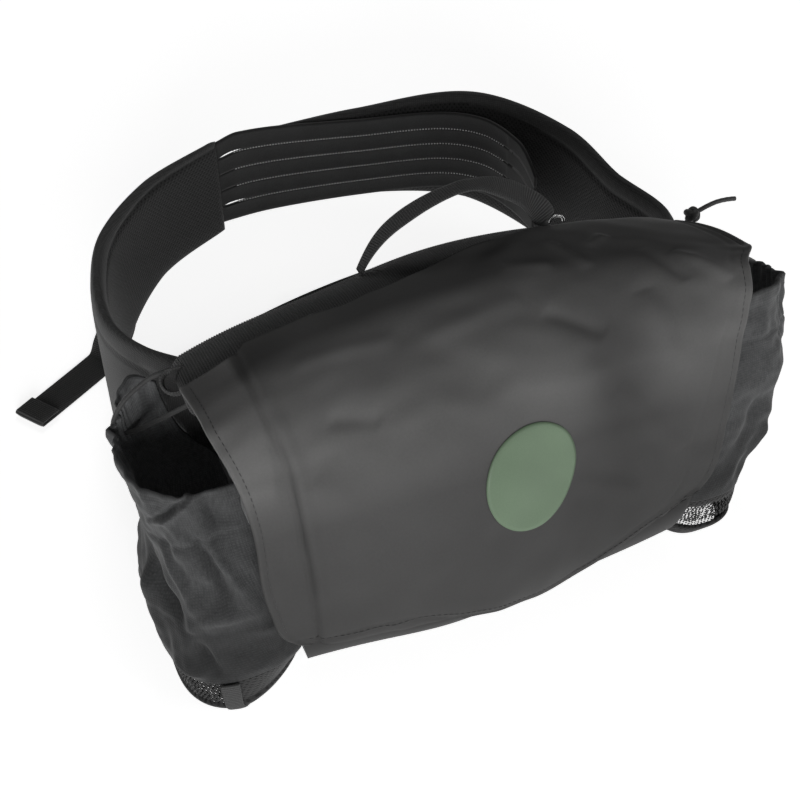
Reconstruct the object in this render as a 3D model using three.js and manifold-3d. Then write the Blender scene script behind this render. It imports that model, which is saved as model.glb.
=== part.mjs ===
// Hip bag: a small flap bag with a bottle pocket on each side and a padded belt that closes behind it.
// Millimetres, +Z up. The origin is the middle of the flat base, on the surface the bag stands on.
// +X is to the right seen from the front, the front faces -Y, and the belt closes on the +Y side.
import * as THREE from 'three';
import { mergeVertices } from 'three/addons/utils/BufferGeometryUtils.js';
import Module from 'manifold-3d';

const wasm = await Module();
wasm.setup();

// Cloth, webbing and padding
const CLOTH = 1.8;
const COATED_CLOTH = 1.5;
const WEBBING = 1.5;
const PADDING = 10;
const PANEL = 2;
const CORD = 2.6;
const WIRE = 1.4;
const SEAM_GAP = 0.4;
const WELD = 1e-4;

// The bag's side profile, a closed loop from the rear top edge over the crest, down the front and
// back under the base, as [y, z]. The mid column holds at x = 0, and left and right at END_X.
// Middle and half place the bag's two ends at that row.
const END_X = 140;
const SAG_POWER = 2;
const PROFILE = [
  { at: 'rear_edge', mid: [48, 163], left: [49, 130], right: [46, 140], middle: 1, half: 129 },
  { at: 'crest', mid: [18, 170], left: [12, 139], right: [6, 153], middle: 6, half: 131 },
  { at: 'brow', mid: [-20, 163], left: [-22, 142], right: [-20, 154], middle: 2, half: 131 },
  { at: 'shoulder', mid: [-49, 140], left: [-40, 121], right: [-36, 130], middle: 0, half: 125 },
  { at: 'belly', mid: [-62, 92], left: [-58, 80], right: [-52, 84], middle: -4, half: 118 },
  { at: 'lip', mid: [-72, 40], left: [-62, 40], right: [-58, 50], middle: -6, half: 107 },
  { at: 'base_front', mid: [-44, 0], left: [-46, 0], right: [-28, 0], middle: -2, half: 104 },
  { at: 'base_mid', mid: [0, 0], left: [0, 0], right: [0, 0], middle: 0, half: 106 },
  { at: 'base_back', mid: [44, 0], left: [42, 0], right: [42, 0], middle: 0, half: 108 },
  { at: 'lumbar', mid: [51, 55], left: [46, 48], right: [46, 50], middle: 0, half: 116 },
  { at: 'back_high', mid: [52, 120], left: [47, 92], right: [48, 108], middle: 3, half: 119 },
];
const row = (name) => PROFILE.findIndex((entry) => entry.at === name);

// Soft dents (negative) and swells of the bag's skin, by place, spread and height
const FOLDS = [
  { at: 'left_seam_crease', x: -112, t: 3.4, spreadX: 14, spreadT: 1.2, height: -3 },
  { at: 'front_swell', x: -38, t: 4.3, spreadX: 48, spreadT: 1.1, height: 14 },
  { at: 'right_hollow', x: 60, t: 3.8, spreadX: 42, spreadT: 1.1, height: -9 },
  { at: 'crest_dip', x: -30, t: 0.9, spreadX: 40, spreadT: 0.5, height: -2 },
  { at: 'rear_dip', x: -60, t: 0.1, spreadX: 45, spreadT: 0.5, height: -4 },
];
const FOLD_CENTRE_Z = 85;

// Mouth of the main compartment, under the flap
const MOUTH = { halfLength: 108, front: -14, back: 30, corner: 12, floor: 110, depth: 100, segments: 4 };
const BODY_GRID = { across: 14, around: 33, bulge: 4 };

// Flap: lift over the bag, rounding of its lower corners, its overhang at the bag's two ends by row,
// and the lines of its rear and lower edges across the bag
const FLAP_LIFT = 2.5;
const FLAP_REACH = 140;
const FLAP_CORNER = { rows: 0.35, inset: 12 };
const FLAP_SIDES = [
  { t: 0.2, left: 12, right: 13 },
  { t: 1, left: 12, right: 22 },
  { t: 1.8, left: 7, right: 12 },
  { t: 2.6, left: 4, right: 9.5 },
  { t: 3.4, left: 3, right: 4.8 },
  { t: 4.2, left: 7, right: 5.3 },
  { t: 5, left: 9, right: 5 },
];
const FLAP_LIP = [
  { x: -120, t: 4.98 },
  { x: -90, t: 4.96 },
  { x: -60, t: 4.8 },
  { x: -30, t: 4.8 },
  { x: 0, t: 5.02 },
  { x: 30, t: 5.16 },
  { x: 60, t: 5.03 },
  { x: 90, t: 4.85 },
  { x: 120, t: 4.6 },
];
const FLAP_REAR = [
  { x: -150, t: 0.86 },
  { x: -100, t: 1 },
  { x: -50, t: 1 },
  { x: 0, t: 0.76 },
  { x: 50, t: 0.44 },
  { x: 100, t: 0.3 },
  { x: 150, t: 0.3 },
];
const FLAP_GRID = { across: 20, along: 20 };
const DISC = { x: 5.8, t: 3.76, radius: 27.5, thickness: 0.6, rings: 3, sides: 24, passes: 12 };

// Tape along the rear top edge and its rolled ends
const TAPE = { half: 133, tRear: 0.02, tFront: 1.08, across: 18, along: 4 };
const CORD_LOOP = { radius: 6, lead: 8, turn: 240, steps: 12, share: 0.42 };
const LOOP_TILT = { left: 25, right: 0 };

// Handle: an arch in the XZ plane
const HANDLE = { middle: 13, halfSpan: 51, rise: 27, skew: 9, power: 1.55, y: 50, lean: 2, tilt: 30 };
const HANDLE_TAPE = { width: 13, steps: 22, clearance: 1.2 };
const RING = { x: 73, y: 49.5, radius: 4, legs: 0.2, points: 10, steps: 12 };

// Belt wings: centre line of the pad from its seam on the bag's back to its far tip
const WING_SEAM = { x: 112, low: 14, high: 100, tuck: 0.2 };
const LEFT_WING = [
  { at: 'root', x: -124, y: 60, low: 8, high: 121 },
  { at: 'flank', x: -143, y: 88, low: 2, high: 115 },
  { at: 'side', x: -153.5, y: 130, low: 0, high: 105 },
  { at: 'hip', x: -150, y: 178, low: 0, high: 101 },
  { at: 'turn', x: -136, y: 218, low: 15, high: 102 },
  { at: 'far', x: -101, y: 251, low: 37, high: 108 },
  { at: 'tip', x: -52, y: 271, low: 46, high: 113 },
];
const RIGHT_WING = [
  { at: 'root', x: 128, y: 58, low: 8, high: 105 },
  { at: 'flank', x: 166, y: 82, low: 2, high: 103 },
  { at: 'side', x: 183, y: 116, low: 0, high: 97 },
  { at: 'hip', x: 174, y: 160, low: 0, high: 98 },
  { at: 'turn', x: 164, y: 213, low: 10, high: 105 },
  { at: 'far', x: 119, y: 265, low: 32, high: 113 },
  { at: 'run', x: 50, y: 283, low: 42, high: 107 },
  { at: 'tip', x: -19, y: 288, low: 44, high: 103 },
];
const WING_GRID = { along: 20, around: 16, edgePower: 8, facePower: 2.5 };

// Ladder panel between the wings: bands divided by slits
const CLOSURE = [
  { at: 'left_end', x: -56, y: 277, low: 48, high: 112 },
  { at: 'emerging', x: -19, y: 281, low: 47, high: 109 },
  { at: 'middle', x: 50, y: 275, low: 46, high: 103 },
  { at: 'bend', x: 102, y: 262, low: 46, high: 103 },
  { at: 'corner', x: 123, y: 246, low: 45, high: 102 },
  { at: 'inside', x: 134, y: 222, low: 43, high: 98 },
  { at: 'right_end', x: 137, y: 197, low: 42, high: 92 },
];
const CLOSURE_BANDS = 5;
const CLOSURE_STEPS = 14;
const SLIT = { width: 2, depth: 6, fromStep: 1, toStep: 12 };

// Bottle pockets: sections of the left one, with x counted outward from the bag's middle.
// Slope is the fall of the section towards the back.
const POCKET = [
  { at: 'floor', z: 0, inner: 104, outer: 164, front: -54, back: 14, slope: 0 },
  { at: 'foot', z: 5, inner: 104, outer: 170, front: -57, back: 20, slope: 0 },
  { at: 'binding', z: 23, inner: 100, outer: 174, front: -57, back: 27, slope: 0 },
  { at: 'lower', z: 38, inner: 96, outer: 177, front: -51, back: 38, slope: 0 },
  { at: 'upper', z: 68, inner: 96, outer: 175, front: -40, back: 54, slope: 0.05 },
  { at: 'hem', z: 94, inner: 98, outer: 174, front: -24, back: 70, slope: 0.14 },
  { at: 'rim', z: 108, inner: 100, outer: 174, front: -14, back: 75, slope: 0.2 },
];
const POCKET_SIDES = [
  { name: 'left', side: -1, forward: 9, footOut: 0, rimOut: 0, waist: -6, ankle: 0, rise: 0, tilt: 1 },
  { name: 'right', side: 1, forward: -9, footOut: -20, rimOut: 22, waist: 8, ankle: -7, rise: 13, tilt: 2 },
];
const POCKET_WAIST = { z: 75, spread: 25 };
const POCKET_ANKLE = { z: 28, spread: 14 };
const BINDING_ROW = 2;
const POCKET_GRID = { around: 44, power: 2.7, headroom: 30 };
const BESIDE_POCKET = { stations: 12, beltShare: 0.5, bottom: -50, depth: 300 };
const GATHER = { waves: 14, depth: 1.6, fromRow: 4 };
const BASE_TAB = { angle: -75, spread: 12.5, columns: 3, heights: [0.6, 5, 13, 22.6] };

// Drawcords: routes chosen by hand, from the pocket's rim to the bag's corner. The right one runs
// through the tape's rolled end and stops in a knot.
const LEFT_REAR_CORD = [
  [-169.6, 55.5, 93.4], [-169.2, 55.8, 96], [-168.2, 56, 99.5], [-166.6, 56.1, 103], [-164.4, 56.1, 106.5],
  [-161.6, 56.1, 110], [-158.2, 56, 113.3], [-154.4, 55.8, 116.5], [-150.4, 55.4, 119.4],
  [-146.4, 54.6, 122.2], [-142.6, 53.2, 124.6], [-139, 51.5, 126.8], [-135.6, 49.8, 128.7],
  [-132.4, 48.2, 130.2], [-128.2, 46.4, 131.4],
];
const LEFT_FRONT_CORD = [
  [-163.6, 56.5, 88.9], [-161.4, 55.3, 89.9], [-158.9, 53.8, 91.3], [-156.2, 51.9, 93.4], [-153.4, 49.7, 96],
  [-150.6, 47.4, 98.9], [-147.8, 44.9, 102], [-145, 42.3, 105.2], [-142.2, 39.7, 108.5],
  [-139.4, 37.1, 111.8], [-136.6, 34.7, 114.9], [-133.8, 32.5, 117.8], [-131, 30.6, 120.4],
  [-129, 29.4, 121.8], [-127.4, 28.5, 122.7],
];
const RIGHT_CORD = [
  [196.2, 39, 104.9], [194, 37.6, 108], [189.5, 35, 112.5], [184, 31.8, 117.5], [177.5, 28.2, 123],
  [170.5, 24.6, 129], [163, 21.2, 135.5], [155.5, 18.8, 141.5], [149, 18.5, 145], [144.2, 21.5, 145],
  [141.9, 25.7, 142.9], [141.7, 31, 140.3], [141.7, 36.5, 137.6], [141.8, 41.5, 135.1], [143.5, 46.5, 132.7],
  [147.5, 50.5, 132.3], [152, 52, 134.6], [155.1, 51.2, 137.8],
];
const RIGHT_TAIL = [
  [160.7, 49, 145], [164.5, 49, 146.3], [170, 49, 147.5], [176.2, 49, 147.5], [182, 49, 146.7],
];
const CORD_STEP = 7;
const KNOT = { x: 155.6, y: 48.9, z: 143.2, radius: 4.9, columns: 12, rows: 8 };

// Loose end of the belt webbing
const TAIL = { width: 22, fold: 13, foldSteps: 4, steps: 16 };
const TAIL_ROUTE = [
  { x: -125.2, y: 240.7, z: 38, roll: -90 },
  { x: -134.2, y: 236.2, z: 22, roll: -66 },
  { x: -143, y: 231.8, z: 8, roll: -24 },
  { x: -151, y: 225, z: 1.2, roll: 0 },
  { x: -204, y: 187, z: 1.2, roll: 0 },
];

// Colours and finishes
const FINISH = {
  coated: { color: 0x50524f, roughness: 0.55, metalness: 0 },
  woven: { color: 0x33343a, roughness: 0.85, metalness: 0 },
  mesh: { color: 0x232429, roughness: 0.95, metalness: 0 },
  webbing: { color: 0x1d1d20, roughness: 0.8, metalness: 0 },
  print: { color: 0x5a7355, roughness: 0.6, metalness: 0 },
  elastic: { color: 0x18181a, roughness: 0.7, metalness: 0 },
  steel: { color: 0xc9c9c6, roughness: 0.25, metalness: 1 },
};

const bag = new THREE.Group();

function addPiece(name, finish, geometry) {
  const mesh = new THREE.Mesh(geometry, new THREE.MeshStandardMaterial(FINISH[finish]));
  mesh.name = name;
  bag.add(mesh);
}

// A closed geometry from points and triangles, turned so that its faces point out.
function closedGeometry(points, triangles) {
  const corner = (index) => points[index];
  let sixVolumes = 0;
  for (let i = 0; i < triangles.length; i += 3) {
    const normal = new THREE.Vector3().crossVectors(corner(triangles[i + 1]), corner(triangles[i + 2]));
    sixVolumes += corner(triangles[i]).dot(normal);
  }
  const geometry = new THREE.BufferGeometry().setFromPoints(points);
  geometry.setIndex(sixVolumes > 0 ? triangles : triangles.slice().reverse());
  geometry.computeVertexNormals();
  return geometry;
}

function solidOf(geometry) {
  const bare = new THREE.BufferGeometry();
  bare.setAttribute('position', geometry.getAttribute('position'));
  bare.setIndex(geometry.getIndex());
  const merged = mergeVertices(bare, WELD);
  const vertProperties = new Float32Array(merged.getAttribute('position').array);
  const triVerts = new Uint32Array(merged.getIndex().array);
  return new wasm.Manifold(new wasm.Mesh({ numProp: 3, vertProperties, triVerts }));
}

function geometryOf(solid) {
  const mesh = solid.getMesh();
  const geometry = new THREE.BufferGeometry();
  geometry.setAttribute('position', new THREE.BufferAttribute(mesh.vertProperties, mesh.numProp));
  geometry.setIndex(new THREE.BufferAttribute(mesh.triVerts, 1));
  geometry.computeVertexNormals();
  return geometry;
}

// A closed sheet between an outer face and an inner one. faceAt(u, v, side) gives a point of the
// outer face for side 1 and of the inner one for side 0, with u and v from 0 to 1.
function sheetGeometry(faceAt, columns, rows) {
  const points = [];
  for (const side of [0, 1]) {
    for (let i = 0; i <= columns; i += 1) {
      for (let j = 0; j <= rows; j += 1) {
        points.push(faceAt(i / columns, j / rows, side));
      }
    }
  }
  const triangles = [];
  const id = (side, i, j) => (side * (columns + 1) + i) * (rows + 1) + j;
  const quad = (a, b, c, d) => triangles.push(a, b, c, a, c, d);
  for (let i = 0; i < columns; i += 1) {
    for (let j = 0; j < rows; j += 1) {
      quad(id(1, i, j), id(1, i + 1, j), id(1, i + 1, j + 1), id(1, i, j + 1));
      quad(id(0, i, j), id(0, i, j + 1), id(0, i + 1, j + 1), id(0, i + 1, j));
    }
    quad(id(0, i, 0), id(0, i + 1, 0), id(1, i + 1, 0), id(1, i, 0));
    quad(id(0, i, rows), id(1, i, rows), id(1, i + 1, rows), id(0, i + 1, rows));
  }
  for (let j = 0; j < rows; j += 1) {
    quad(id(0, 0, j), id(1, 0, j), id(1, 0, j + 1), id(0, 0, j + 1));
    quad(id(0, columns, j), id(0, columns, j + 1), id(1, columns, j + 1), id(1, columns, j));
  }
  return closedGeometry(points, triangles);
}

// A closed solid lofted through rings of points, with a fan to the given middle point over each end.
function loftGeometry(rings, startMiddle, endMiddle) {
  const sides = rings[0].length;
  const points = [...rings.flat(), startMiddle, endMiddle];
  const first = rings.length * sides;
  const last = (rings.length - 1) * sides;
  const triangles = [];
  for (let k = 0; k < sides; k += 1) {
    const next = (k + 1) % sides;
    for (let i = 0; i < rings.length - 1; i += 1) {
      const a = i * sides;
      const b = a + sides;
      triangles.push(a + k, a + next, b + next, a + k, b + next, b + k);
    }
    triangles.push(first, next, k, first + 1, last + k, last + next);
  }
  return closedGeometry(points, triangles);
}

function middleOf(points) {
  const sum = new THREE.Vector3();
  points.forEach((point) => sum.add(point));
  return sum.divideScalar(points.length);
}

function cordGeometry(route, diameter, steps) {
  const section = new THREE.Shape().absarc(0, 0, diameter / 2, 0, 2 * Math.PI);
  const path = new THREE.CatmullRomCurve3(route);
  const halfSides = 4;
  const options = { steps, extrudePath: path, curveSegments: halfSides, bevelEnabled: false };
  return new THREE.ExtrudeGeometry(section, options);
}

// A flat ribbon along a row of frames, each with its middle, the direction across and the one up.
function ribbonGeometry(frames, width, thickness) {
  const faceAt = (u, v, side) => {
    const frame = frames[Math.round(u * (frames.length - 1))];
    const point = frame.middle.clone().addScaledVector(frame.across, (v - 0.5) * width);
    return point.addScaledVector(frame.up, (side - 0.5) * thickness);
  };
  return sheetGeometry(faceAt, frames.length - 1, 1);
}

// The bag's skin
const loopThrough = (column) => new THREE.CatmullRomCurve3(
  PROFILE.map((entry) => new THREE.Vector3(entry.half, ...entry[column])),
  true,
);
const midLoop = loopThrough('mid');
const leftLoop = loopThrough('left');
const rightLoop = loopThrough('right');
const middleLine = new THREE.CatmullRomCurve3(
  PROFILE.map((entry) => new THREE.Vector3(entry.middle, 0, 0)),
  true,
);
const loopTurn = (t) => THREE.MathUtils.euclideanModulo(t / PROFILE.length, 1);
const bodyHalf = (t) => midLoop.getPoint(loopTurn(t)).x;
const bodyMiddle = (t) => middleLine.getPoint(loopTurn(t)).x;

function foldHeight(x, t) {
  let height = 0;
  for (const fold of FOLDS) {
    const dx = (x - fold.x) / fold.spreadX;
    const dt = (t - fold.t) / fold.spreadT;
    height += fold.height * Math.exp(-dx * dx - dt * dt);
  }
  return height;
}

function skin(x, t) {
  const mid = midLoop.getPoint(loopTurn(t));
  const end = (x < 0 ? leftLoop : rightLoop).getPoint(loopTurn(t));
  const share = Math.abs(x / END_X) ** SAG_POWER;
  const point = new THREE.Vector3(x, mid.y + (end.y - mid.y) * share, mid.z + (end.z - mid.z) * share);
  const outward = new THREE.Vector3(0, point.y, point.z - FOLD_CENTRE_Z).normalize();
  point.addScaledVector(outward, foldHeight(x, t));
  point.z = Math.max(point.z, 0);
  return point;
}

// A point at a height over the skin, along the skin's normal.
function overSkin(x, t, lift) {
  const stepX = 1;
  const stepT = 0.03;
  const alongX = skin(x + stepX, t).sub(skin(x - stepX, t));
  const alongT = skin(x, t + stepT).sub(skin(x, t - stepT));
  const normal = alongT.cross(alongX).normalize();
  return skin(x, t).addScaledVector(normal, lift);
}

// The whole bag as one closed solid, its skin moved out by lift.
function bagSolid(lift) {
  const rings = [];
  for (let i = 0; i <= BODY_GRID.across; i += 1) {
    const s = (2 * i) / BODY_GRID.across - 1;
    const ring = [];
    for (let j = 0; j < BODY_GRID.around; j += 1) {
      const t = (j / BODY_GRID.around) * PROFILE.length;
      const half = bodyHalf(t);
      const middle = bodyMiddle(t);
      const point = overSkin(middle + s * half, t, lift);
      point.x = middle + s * (half + lift);
      point.z = Math.max(point.z, Math.max(0, -lift));
      ring.push(point);
    }
    rings.push(ring);
  }
  const startMiddle = middleOf(rings[0]);
  const endMiddle = middleOf(rings.at(-1));
  startMiddle.x -= BODY_GRID.bulge;
  endMiddle.x += BODY_GRID.bulge;
  return solidOf(loftGeometry(rings, startMiddle, endMiddle));
}

function roundedRectangle(halfLength, front, back, corner) {
  const shape = new THREE.Shape();
  shape.absarc(halfLength - corner, back - corner, corner, 0, Math.PI / 2);
  shape.absarc(corner - halfLength, back - corner, corner, Math.PI / 2, Math.PI);
  shape.absarc(corner - halfLength, front + corner, corner, Math.PI, 1.5 * Math.PI);
  shape.absarc(halfLength - corner, front + corner, corner, 1.5 * Math.PI, 2 * Math.PI);
  shape.closePath();
  return shape;
}

// Main compartment
const mouthShape = roundedRectangle(MOUTH.halfLength, MOUTH.front, MOUTH.back, MOUTH.corner);
const mouthOptions = { depth: MOUTH.depth, bevelEnabled: false, curveSegments: MOUTH.segments };
const mouthGeometry = new THREE.ExtrudeGeometry(mouthShape, mouthOptions);
mouthGeometry.translate(0, 0, MOUTH.floor);
const bodyShell = bagSolid(0).subtract(bagSolid(-CLOTH)).subtract(solidOf(mouthGeometry));
addPiece('bag_body', 'woven', geometryOf(bodyShell));

// Flap
// A smooth line through evenly spaced entries: the value of one column at a place in another.
function lineThrough(entries, place, column) {
  const curve = new THREE.CatmullRomCurve3(entries.map((entry) => new THREE.Vector3(entry[column], 0, 0)));
  const first = entries[0][place];
  const span = entries.at(-1)[place] - first;
  return (at) => curve.getPoint(THREE.MathUtils.clamp((at - first) / span, 0, 1)).x;
}
const flapRear = lineThrough(FLAP_REAR, 'x', 't');
const flapLip = lineThrough(FLAP_LIP, 'x', 't');
const leftOverhang = lineThrough(FLAP_SIDES, 't', 'left');
const rightOverhang = lineThrough(FLAP_SIDES, 't', 'right');

function flapPoint(u, v, lift) {
  const s = 2 * u - 1;
  const rear = flapRear(s * FLAP_REACH);
  const lip = flapLip(s * bodyHalf(row('lip')));
  const t = rear + (lip - rear) * v;
  const intoCorner = Math.max(0, (t - lip) / FLAP_CORNER.rows + 1);
  const inset = FLAP_CORNER.inset * (1 - Math.sqrt(1 - Math.min(1, intoCorner) ** 2));
  const overhang = s < 0 ? leftOverhang(t) : rightOverhang(t);
  return overSkin(bodyMiddle(t) + s * (bodyHalf(t) + overhang - inset), t, lift);
}
const flapFace = (u, v, side) => flapPoint(u, v, FLAP_LIFT + side * COATED_CLOTH);
addPiece('flap', 'coated', sheetGeometry(flapFace, FLAP_GRID.across, FLAP_GRID.along));

// Round patch on the flap, laid over a flat circle that touches the skin at the patch's middle
const discMiddle = skin(DISC.x, DISC.t);
const discRow = skin(DISC.x, DISC.t - 1).sub(discMiddle);
const discStep = skin(DISC.x + 1, DISC.t).sub(discMiddle);
const discAcross = discStep.clone().normalize();
const discUp = overSkin(DISC.x, DISC.t, 1).sub(discMiddle).cross(discAcross);
function discPoint(radius, angle, lift) {
  const target = discMiddle.clone();
  target.addScaledVector(discAcross, radius * Math.cos(angle));
  target.addScaledVector(discUp, radius * Math.sin(angle));
  let [x, t] = [DISC.x, DISC.t];
  for (let pass = 0; pass < DISC.passes; pass += 1) {
    const off = target.clone().sub(skin(x, t));
    x += off.dot(discAcross) / discStep.length();
    t -= off.dot(discUp) / discRow.dot(discUp);
  }
  return overSkin(x, t, lift);
}

function discRing(radius, lift) {
  const ring = [];
  for (let k = 0; k < DISC.sides; k += 1) {
    ring.push(discPoint(radius, (2 * Math.PI * k) / DISC.sides, lift));
  }
  return ring;
}
const discLow = FLAP_LIFT + COATED_CLOTH + SEAM_GAP;
const discHigh = discLow + DISC.thickness;
const discRings = [];
for (let i = 1; i <= DISC.rings; i += 1) {
  discRings.push(discRing((DISC.radius * i) / DISC.rings, discLow));
}
for (let i = DISC.rings; i >= 1; i -= 1) {
  discRings.push(discRing((DISC.radius * i) / DISC.rings, discHigh));
}
addPiece('flap_disc', 'print', loftGeometry(discRings, discPoint(0, 0, discLow), discPoint(0, 0, discHigh)));

// Tape along the rear top edge
const tapeLift = SEAM_GAP;
const tapeFace = (u, v, side) => {
  const t = TAPE.tRear + (TAPE.tFront - TAPE.tRear) * v;
  return overSkin(bodyMiddle(0) + (2 * u - 1) * TAPE.half, t, tapeLift + side * WEBBING);
};
addPiece('top_tape', 'webbing', sheetGeometry(tapeFace, TAPE.across, TAPE.along));

// Rolled ends of the tape
function cordLoop(side, tiltAngle) {
  const x = bodyMiddle(0) + side * TAPE.half;
  const lift = tapeLift + WEBBING / 2;
  const rear = overSkin(x, TAPE.tRear, lift);
  const front = overSkin(x, TAPE.tRear + (TAPE.tFront - TAPE.tRear) * CORD_LOOP.share, lift);
  const middle = middleOf([rear, front]);
  const across = front.clone().sub(rear);
  const width = across.length();
  across.normalize();
  const along = overSkin(x, TAPE.tRear, lift).sub(overSkin(x - side, TAPE.tRear, lift)).normalize();
  const up = new THREE.Vector3().crossVectors(along, across).multiplyScalar(-side).normalize();
  const out = new THREE.Vector3().crossVectors(across, up).multiplyScalar(-side);
  const start = middle.clone().addScaledVector(out, SEAM_GAP);
  const frames = [{ middle: start, across, up }];
  const tilt = THREE.MathUtils.degToRad(tiltAngle);
  const axis = across.clone().multiplyScalar(Math.cos(tilt)).addScaledVector(up, Math.sin(tilt));
  const top = up.clone().multiplyScalar(Math.cos(tilt)).addScaledVector(across, -Math.sin(tilt));
  const centre = middle.clone().addScaledVector(out, CORD_LOOP.lead).addScaledVector(top, -CORD_LOOP.radius);
  for (let i = 0; i <= CORD_LOOP.steps; i += 1) {
    const angle = THREE.MathUtils.degToRad((CORD_LOOP.turn * i) / CORD_LOOP.steps);
    const radial = top.clone().multiplyScalar(Math.cos(angle)).addScaledVector(out, Math.sin(angle));
    const point = centre.clone().addScaledVector(radial, CORD_LOOP.radius);
    frames.push({ middle: point, across: axis, up: radial });
  }
  return ribbonGeometry(frames, width, WEBBING);
}
addPiece('left_cord_loop', 'webbing', cordLoop(-1, LOOP_TILT.left));
addPiece('right_cord_loop', 'webbing', cordLoop(1, LOOP_TILT.right));

// Handle
const handleFoot = tapeLift + 2 * WEBBING + HANDLE_TAPE.clearance;
const handleTilt = THREE.MathUtils.degToRad(HANDLE.tilt);
const handleAcross = new THREE.Vector3(0, Math.cos(handleTilt), -Math.sin(handleTilt));
const handleFrames = [];
for (let i = 0; i <= HANDLE_TAPE.steps; i += 1) {
  const s = -Math.cos((Math.PI * i) / HANDLE_TAPE.steps);
  const height = (1 - Math.abs(s) ** HANDLE.power) ** (1 / HANDLE.power);
  const x = HANDLE.middle + HANDLE.halfSpan * s + HANDLE.skew * height;
  const foot = skin(x, 0).z + handleFoot;
  const middle = new THREE.Vector3(x, HANDLE.y + HANDLE.lean * height, foot + HANDLE.rise * height);
  handleFrames.push({ middle });
}
handleFrames.forEach((frame, i) => {
  const before = handleFrames[Math.max(0, i - 1)].middle;
  const after = handleFrames[Math.min(HANDLE_TAPE.steps, i + 1)].middle;
  const along = after.clone().sub(before).normalize();
  frame.up = new THREE.Vector3().crossVectors(along, handleAcross).normalize();
  frame.across = new THREE.Vector3().crossVectors(frame.up, along).normalize();
});
addPiece('handle', 'webbing', ribbonGeometry(handleFrames, HANDLE_TAPE.width, WEBBING));

// Wire bow beside the handle
const ringFoot = skin(RING.x, 0).z + tapeLift + WEBBING + SEAM_GAP;
const ringRoute = [];
for (let i = 0; i <= RING.points; i += 1) {
  const angle = (Math.PI * i) / RING.points;
  const rise = RING.radius * (RING.legs + Math.sin(angle));
  ringRoute.push(new THREE.Vector3(RING.x - RING.radius * Math.cos(angle), RING.y, ringFoot + rise));
}
addPiece('pull_ring', 'steel', cordGeometry(ringRoute, WIRE, RING.steps));

// Belt wings and the panel between them
function beltLines(rows) {
  const plan = new THREE.CatmullRomCurve3(rows.map((entry) => new THREE.Vector3(entry.x, entry.y, 0)));
  const edges = new THREE.CatmullRomCurve3(rows.map((entry) => new THREE.Vector3(entry.low, entry.high, 0)));
  return { plan, edges };
}

function beltFrame(lines, u, outSide) {
  const middle = lines.plan.getPoint(u);
  const along = lines.plan.getTangent(u);
  const out = new THREE.Vector3(along.y, -along.x, 0).multiplyScalar(outSide);
  const edge = lines.edges.getPoint(u);
  return { middle, out, low: Math.max(0, edge.x), high: edge.y };
}

const powered = (value, power) => Math.sign(value) * Math.abs(value) ** (2 / power);

function withSeam(rows, side) {
  const x = side * WING_SEAM.x;
  const [low, high] = [row('lumbar'), row('back_high')];
  const backs = [low, (low + high) / 2, high].map((t) => skin(x, t).y);
  const y = Math.max(...backs) + PADDING / 2 - WING_SEAM.tuck;
  return [{ at: 'seam', x, y, low: WING_SEAM.low, high: WING_SEAM.high }, ...rows];
}

function wingGeometry(lines, side) {
  const rings = [];
  for (let i = 0; i <= WING_GRID.along; i += 1) {
    const frame = beltFrame(lines, i / WING_GRID.along, side);
    const centre = (frame.low + frame.high) / 2;
    const halfHeight = (frame.high - frame.low) / 2;
    const ring = [];
    for (let k = 0; k < WING_GRID.around; k += 1) {
      const angle = (2 * Math.PI * k) / WING_GRID.around;
      const across = (PADDING / 2) * powered(Math.cos(angle), WING_GRID.facePower);
      const point = frame.middle.clone().addScaledVector(frame.out, across);
      point.z = centre + halfHeight * powered(Math.sin(angle), WING_GRID.edgePower);
      ring.push(point);
    }
    rings.push(ring);
  }
  return loftGeometry(rings, middleOf(rings[0]), middleOf(rings.at(-1)));
}
const leftLines = beltLines(withSeam(LEFT_WING, -1));
const rightLines = beltLines(withSeam(RIGHT_WING, 1));
addPiece('left_wing', 'mesh', wingGeometry(leftLines, -1));
addPiece('right_wing', 'mesh', wingGeometry(rightLines, 1));

const closureLines = beltLines(CLOSURE);
function closureSheet(fromStep, toStep, lowShare, highShare, thickness, margin) {
  const steps = toStep - fromStep;
  const faceAt = (u, v, side) => {
    const frame = beltFrame(closureLines, (fromStep + steps * u) / CLOSURE_STEPS, -1);
    const share = lowShare + (highShare - lowShare) * v;
    const point = frame.middle.clone().addScaledVector(frame.out, (side - 0.5) * thickness);
    point.z = frame.low + (frame.high - frame.low) * share + (2 * v - 1) * margin;
    return point;
  };
  return sheetGeometry(faceAt, steps, 1);
}
let closure = solidOf(closureSheet(0, CLOSURE_STEPS, 0, 1, PANEL, 0));
for (let band = 1; band < CLOSURE_BANDS; band += 1) {
  const share = band / CLOSURE_BANDS;
  const slit = closureSheet(SLIT.fromStep, SLIT.toStep, share, share, SLIT.depth, SLIT.width / 2);
  closure = closure.subtract(solidOf(slit));
}
addPiece('closure_panel', 'woven', geometryOf(closure));

// Bottle pockets: a wall of cloth on a mesh bottom, both open towards the bag and the belt
function pocketPoint(side, section, angle, inset) {
  const centreX = (section.inner + section.outer) / 2;
  const centreY = (section.front + section.back) / 2;
  const rearShare = Math.max(0, Math.sin(angle));
  const gather = GATHER.depth * (section.gather ?? 0) * rearShare * Math.cos(GATHER.waves * angle);
  const reachX = (section.outer - section.inner) / 2 - inset + gather;
  const reachY = (section.back - section.front) / 2 - inset + gather;
  const x = centreX + reachX * powered(Math.cos(angle), POCKET_GRID.power);
  const y = centreY + reachY * powered(Math.sin(angle), POCKET_GRID.power);
  return new THREE.Vector3(side * x, y, section.z - section.slope * (y - section.front));
}

function pocketRing(side, section, inset) {
  const ring = [];
  for (let k = 0; k < POCKET_GRID.around; k += 1) {
    ring.push(pocketPoint(side, section, (2 * Math.PI * k) / POCKET_GRID.around, inset));
  }
  return ring;
}

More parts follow.
